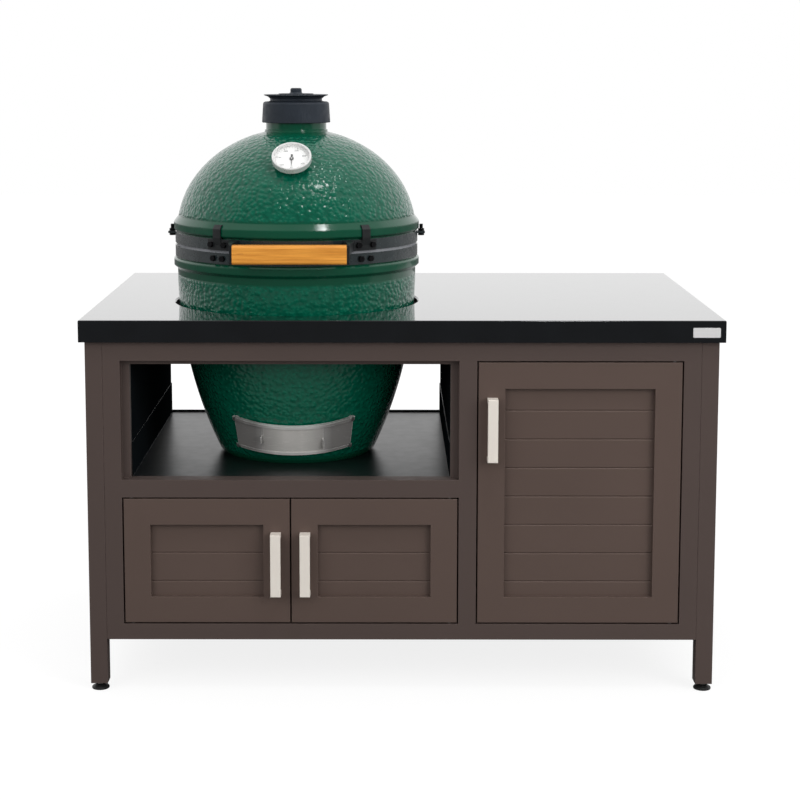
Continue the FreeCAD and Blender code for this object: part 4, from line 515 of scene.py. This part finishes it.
def dress_nodes():
    """Gives every CAD node its material."""
    materials = dict(NODE_MATERIALS)
    for foot in FEET:
        materials[foot] = FOOT_BLACK
    for door in DOORS:
        materials[door + "_frame"] = DOOR_COAT
        materials[door + "_panel"] = DOOR_COAT
        materials[door + "_pull"] = NICKEL
    for name, node in NODES.items():
        node.data.materials.clear()
        node.data.materials.append(materials[name])


# Pieces

def place(piece, material, body, slot):
    """Adds a piece that rides on a body."""
    piece.data.materials.append(material)
    bpy.context.scene.collection.objects.link(piece)
    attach(piece, body)
    return piece


def mesh_piece(name, vertices, faces, material, body, slot, smooth=True):
    mesh = bpy.data.meshes.new(name)
    mesh.from_pydata(vertices, [], faces)
    mesh.validate()
    if smooth:
        mesh.shade_smooth()
    return place(bpy.data.objects.new(name, mesh), material, body, slot)


def wire_piece(name, paths, radius, material, body, slot):
    """Round wire along each list of points."""
    curve = bpy.data.curves.new(name, "CURVE")
    curve.dimensions = "3D"
    curve.bevel_depth = radius
    curve.bevel_resolution = 5
    curve.use_fill_caps = True
    for path in paths:
        spline = curve.splines.new("POLY")
        spline.points.add(len(path) - 1)
        for point, where in zip(spline.points, path):
            point.co = (*where, 1)
    return place(bpy.data.objects.new(name, curve), material, body, slot)


def spring_point(side, turns):
    """Point on the coil round the hinge pin, so many turns from its start."""
    turn = 2 * math.pi * turns
    return HINGE + Vector((
        side * (SPRING_START + SPRING_PITCH * turns),
        SPRING_RADIUS * math.sin(turn), -SPRING_RADIUS * math.cos(turn)))


def spring_path(side):
    """Leg under the lower bracket, a coil round the pin, and a leg over the upper bracket."""
    points = [spring_point(side, SPRING_TURNS * k / SPRING_STEPS) for k in range(SPRING_STEPS + 1)]
    first = (points[0] - points[1]).normalized()
    last = (points[-1] - points[-2]).normalized()
    return [points[0] + first * SPRING_LEG] + points + [points[-1] + last * SPRING_LEG]


def springs():
    wire = wire_piece(
        "spring_wire", [spring_path(-1), spring_path(1)], SPRING_WIRE, PLATED, "table", "bolt_steel")
    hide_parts("hinge_springs")


def dial_frame():
    """Origin on the dial's face, and its right, up and outward directions."""
    joint = JOINTS["pointer_turn"]
    out = -Vector(joint["axis"])
    right = Vector((1, 0, 0))
    up = out.cross(right)
    return Vector(joint["pos_m"]) - out * DIAL_DEPTH, right, up, out


def dial_direction(degrees):
    """In the dial's plane, clockwise from straight down as the needle turns."""
    turn = math.radians(degrees)
    origin, right, up, out = dial_frame()
    return -up * math.cos(turn) - right * math.sin(turn)


def dial_ticks():
    """Scale of short and long strokes printed on the dial."""
    origin, right, up, out = dial_frame()
    vertices = []
    faces = []
    for k in range((DIAL_NUMBERS - 1) * 5 + 1):
        along = dial_direction(k * DEGREES_PER_NUMBER / 5)
        across = along.cross(out)
        long = k % 5 == 0
        inner = DIAL_RADIUS - (0.0052 if long else 0.0032)
        half = 0.00042 if long else 0.00022
        start = len(vertices)
        for reach in (inner, DIAL_RADIUS - 0.0006):
            for side in (-1, 1):
                vertices.append(origin + along * reach + across * (side * half) + out * 0.0001)
        faces.append((start, start + 1, start + 3, start + 2))
    mesh_piece("dial_ticks", vertices, faces, INK, "dome", "pointer_black", smooth=False)


def dial_numbers():
    """Plain numbers at the long strokes, upright as the dial is read."""
    origin, right, up, out = dial_frame()
    turn = Matrix((right, up, out)).transposed().to_4x4()
    for k in range(DIAL_NUMBERS):
        text = bpy.data.curves.new("dial_number", "FONT")
        text.body = str(DIAL_START + k * DIAL_STEP)
        text.size = 0.0062
        text.extrude = 0.00003
        text.align_x = "CENTER"
        text.align_y = "CENTER"
        where = origin + dial_direction(k * DEGREES_PER_NUMBER) * (DIAL_RADIUS - 0.0098) + out * 0.0001
        number = bpy.data.objects.new("dial_number_%d" % k, text)
        number.matrix_world = Matrix.Translation(where) @ turn
        place(number, INK, "dome", "pointer_black")


def lathe(profile, centre, sides):
    """Vertices and faces of (radius, height) points turned about a vertical line."""
    vertices = []
    faces = []
    for radius, z in profile:
        for k in range(sides):
            turn = 2 * math.pi * k / sides
            vertices.append((centre.x + radius * math.cos(turn), centre.y + radius * math.sin(turn), z))
    for row in range(len(profile) - 1):
        for k in range(sides):
            a = row * sides + k
            b = row * sides + (k + 1) % sides
            faces.append((a, b, b + sides, a + sides))
    faces.append(tuple(reversed(range(sides))))
    faces.append(tuple(range((len(profile) - 1) * sides, len(profile) * sides)))
    return vertices, faces


def thread_profile(low, high, pitch):
    """Crests and roots of a screw thread, drawn as rings."""
    points = []
    z = low
    while z + pitch < high:
        points += [(FOOT_STEM - 0.0008, z), (FOOT_STEM, z + pitch / 2)]
        z += pitch
    return points + [(FOOT_STEM - 0.0008, high)]


def foot(name):
    """Levelling foot: soft pad with a rounded rim, hexagon nut and threaded stem."""
    low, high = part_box(name)
    centre = (low + high) / 2
    pad = [
        (FOOT_RADIUS - 0.002, 0.0), (FOOT_RADIUS - 0.0005, 0.0006), (FOOT_RADIUS, 0.0018),
        (FOOT_RADIUS, FOOT_RIM - 0.0015), (FOOT_RADIUS - 0.001, FOOT_RIM),
        (FOOT_RADIUS - 0.003, FOOT_RIM + 0.0008), (0.011, 0.009), (0.0092, 0.0105)]
    vertices, faces = lathe(pad, centre, 48)
    piece = mesh_piece(name + "_pad", vertices, faces, FOOT_BLACK, name, "foot_plastic")
    nut = [(NUT_RADIUS - 0.0008, 0.0103), (NUT_RADIUS, 0.0111), (NUT_RADIUS, FOOT_TOP - 0.0008),
           (NUT_RADIUS - 0.0008, FOOT_TOP)]
    vertices, faces = lathe(nut, centre, 6)
    hexagon = mesh_piece(name + "_nut", vertices, faces, PLATED, name, "foot_plastic", smooth=False)
    vertices, faces = lathe(thread_profile(0.01, FOOT_STEM_TOP, 0.0015), centre, 24)
    stem = mesh_piece(name + "_stem", vertices, faces, PLATED, name, "foot_plastic")
    for part in (piece, hexagon, stem):
        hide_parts(name)


# Camera, light and floor

def add_camera():
    data = bpy.data.cameras.new("camera")
    data.sensor_width = CAMERA_SENSOR
    data.lens = CAMERA_LENS
    data.shift_x, data.shift_y = CAMERA_SHIFT
    camera = bpy.data.objects.new("camera", data)
    camera.location = CAMERA_PLACE
    camera.rotation_euler = (CAMERA_TILT, 0, CAMERA_TURN)
    bpy.context.scene.collection.objects.link(camera)
    bpy.context.scene.camera = camera


def add_area(name, where, target, size, power, in_mirrors):
    """Soft lamp aimed at target. One that isn't in mirrors lights the object without a reflection."""
    data = bpy.data.lights.new(name, "AREA")
    data.shape = "RECTANGLE"
    data.size, data.size_y = size
    data.energy = power
    lamp = bpy.data.objects.new(name, data)
    lamp.location = where
    lamp.visible_glossy = in_mirrors
    lamp.rotation_euler = (Vector(target) - Vector(where)).to_track_quat("-Z", "Y").to_euler()
    bpy.context.scene.collection.objects.link(lamp)


def new_node(tree, kind, **settings):
    """Node of a world or floor, which have no Principled helper."""
    node = tree.nodes.new(kind)
    for key, value in settings.items():
        setattr(node, key, value)
    return node


def combine(tree, operation, a, b):
    node = new_node(tree, "ShaderNodeMath", operation=operation)
    for socket, value in zip(node.inputs, (a, b)):
        if isinstance(value, (int, float)):
            socket.default_value = value
        else:
            tree.links.new(value, socket)
    return node.outputs[0]


def ramp(tree, source, low, high, to_low, to_high):
    node = new_node(tree, "ShaderNodeMapRange", interpolation_type="SMOOTHSTEP")
    tree.links.new(source, node.inputs["Value"])
    ends = (("From Min", low), ("From Max", high), ("To Min", to_low), ("To Max", to_high))
    for name, value in ends:
        node.inputs[name].default_value = value
    return node.outputs["Result"]


def light_world():
    """White behind the object and at its sides, and a dim room behind the camera."""
    world = bpy.data.worlds.new("studio")
    bpy.context.scene.world = world
    world.use_nodes = True
    tree = world.node_tree
    background = tree.nodes["Background"]
    background.inputs["Color"].default_value = (1, 1, 1, 1)
    split = new_node(tree, "ShaderNodeSeparateXYZ")
    tree.links.new(new_node(tree, "ShaderNodeTexCoord").outputs["Generated"], split.inputs[0])
    sides = ramp(tree, split.outputs["Y"], -0.55, -0.25, FRONT_GLOSS, SIDE_GLOSS)
    rear = ramp(tree, split.outputs["Y"], 0.0, 0.4, 0.0, REAR_GLOSS)
    ceiling = ramp(tree, split.outputs["Z"], 0.55, 0.85, 0.0, CEILING_GLOSS)
    gloss = combine(tree, "MAXIMUM", combine(tree, "MAXIMUM", sides, rear), ceiling)
    path = new_node(tree, "ShaderNodeLightPath")
    mirror = combine(
        tree, "MAXIMUM", path.outputs["Is Glossy Ray"], path.outputs["Is Transmission Ray"])
    seen = path.outputs["Is Camera Ray"]
    strength = combine(tree, "MULTIPLY", gloss, mirror)
    strength = combine(tree, "ADD", strength, seen)
    rest = combine(tree, "SUBTRACT", 1.0, combine(tree, "ADD", mirror, seen))
    sky = ramp(tree, split.outputs["Z"], -0.1, 0.9, AMBIENT_LOW, AMBIENT_HIGH)
    ambient = combine(tree, "MULTIPLY", combine(tree, "MAXIMUM", rest, 0.0), sky)
    strength = combine(tree, "ADD", strength, ambient)
    tree.links.new(strength, background.inputs["Strength"])


def add_floor():
    """Floor that shows near white to the camera and keeps a faint shadow."""
    mesh = bpy.data.meshes.new("floor")
    corners = [(x * FLOOR_HALF, y * FLOOR_HALF, 0) for x, y in ((-1, -1), (1, -1), (1, 1), (-1, 1))]
    mesh.from_pydata(corners, [], [(0, 1, 2, 3)])
    floor = bpy.data.objects.new("floor", mesh)
    bpy.context.scene.collection.objects.link(floor)
    material = bpy.data.materials.new("floor_white")
    material.use_nodes = True
    tree = material.node_tree
    shader = tree.nodes["Principled BSDF"]
    shader.inputs["Base Color"].default_value = (FLOOR_GREY, FLOOR_GREY, FLOOR_GREY, 1)
    shader.inputs["Roughness"].default_value = 0.9
    shader.inputs["Specular IOR Level"].default_value = 0.1
    shader.inputs["Emission Color"].default_value = (1, 1, 1, 1)
    seen = combine(
        tree, "MULTIPLY", new_node(tree, "ShaderNodeLightPath").outputs["Is Camera Ray"], FLOOR_WHITE)
    tree.links.new(seen, shader.inputs["Emission Strength"])
    floor.data.materials.append(material)


dress_nodes()
springs()
dial_ticks()
dial_numbers()
for foot_name in FEET:
    foot(foot_name)

add_camera()
light_world()
add_floor()
add_area("softbox_top", (0.63, -1.26, 3.4), (-0.15, -0.2, 0.9), (0.34, 0.26), 12, True)
add_area("fill_left", (-2.6, -3.6, 2.2), (-0.1, 0, 0.6), FILL_SIZE, 50, False)
add_area("fill_right", (2.9, -3.2, 2.0), (0.1, 0, 0.6), FILL_SIZE, 90, False)
add_area("fill_rear", (-0.8, 4.4, 2.3), (0.0, 0, 0.6), FILL_SIZE, 60, False)

bpy.context.scene.view_settings.view_transform = "Standard"
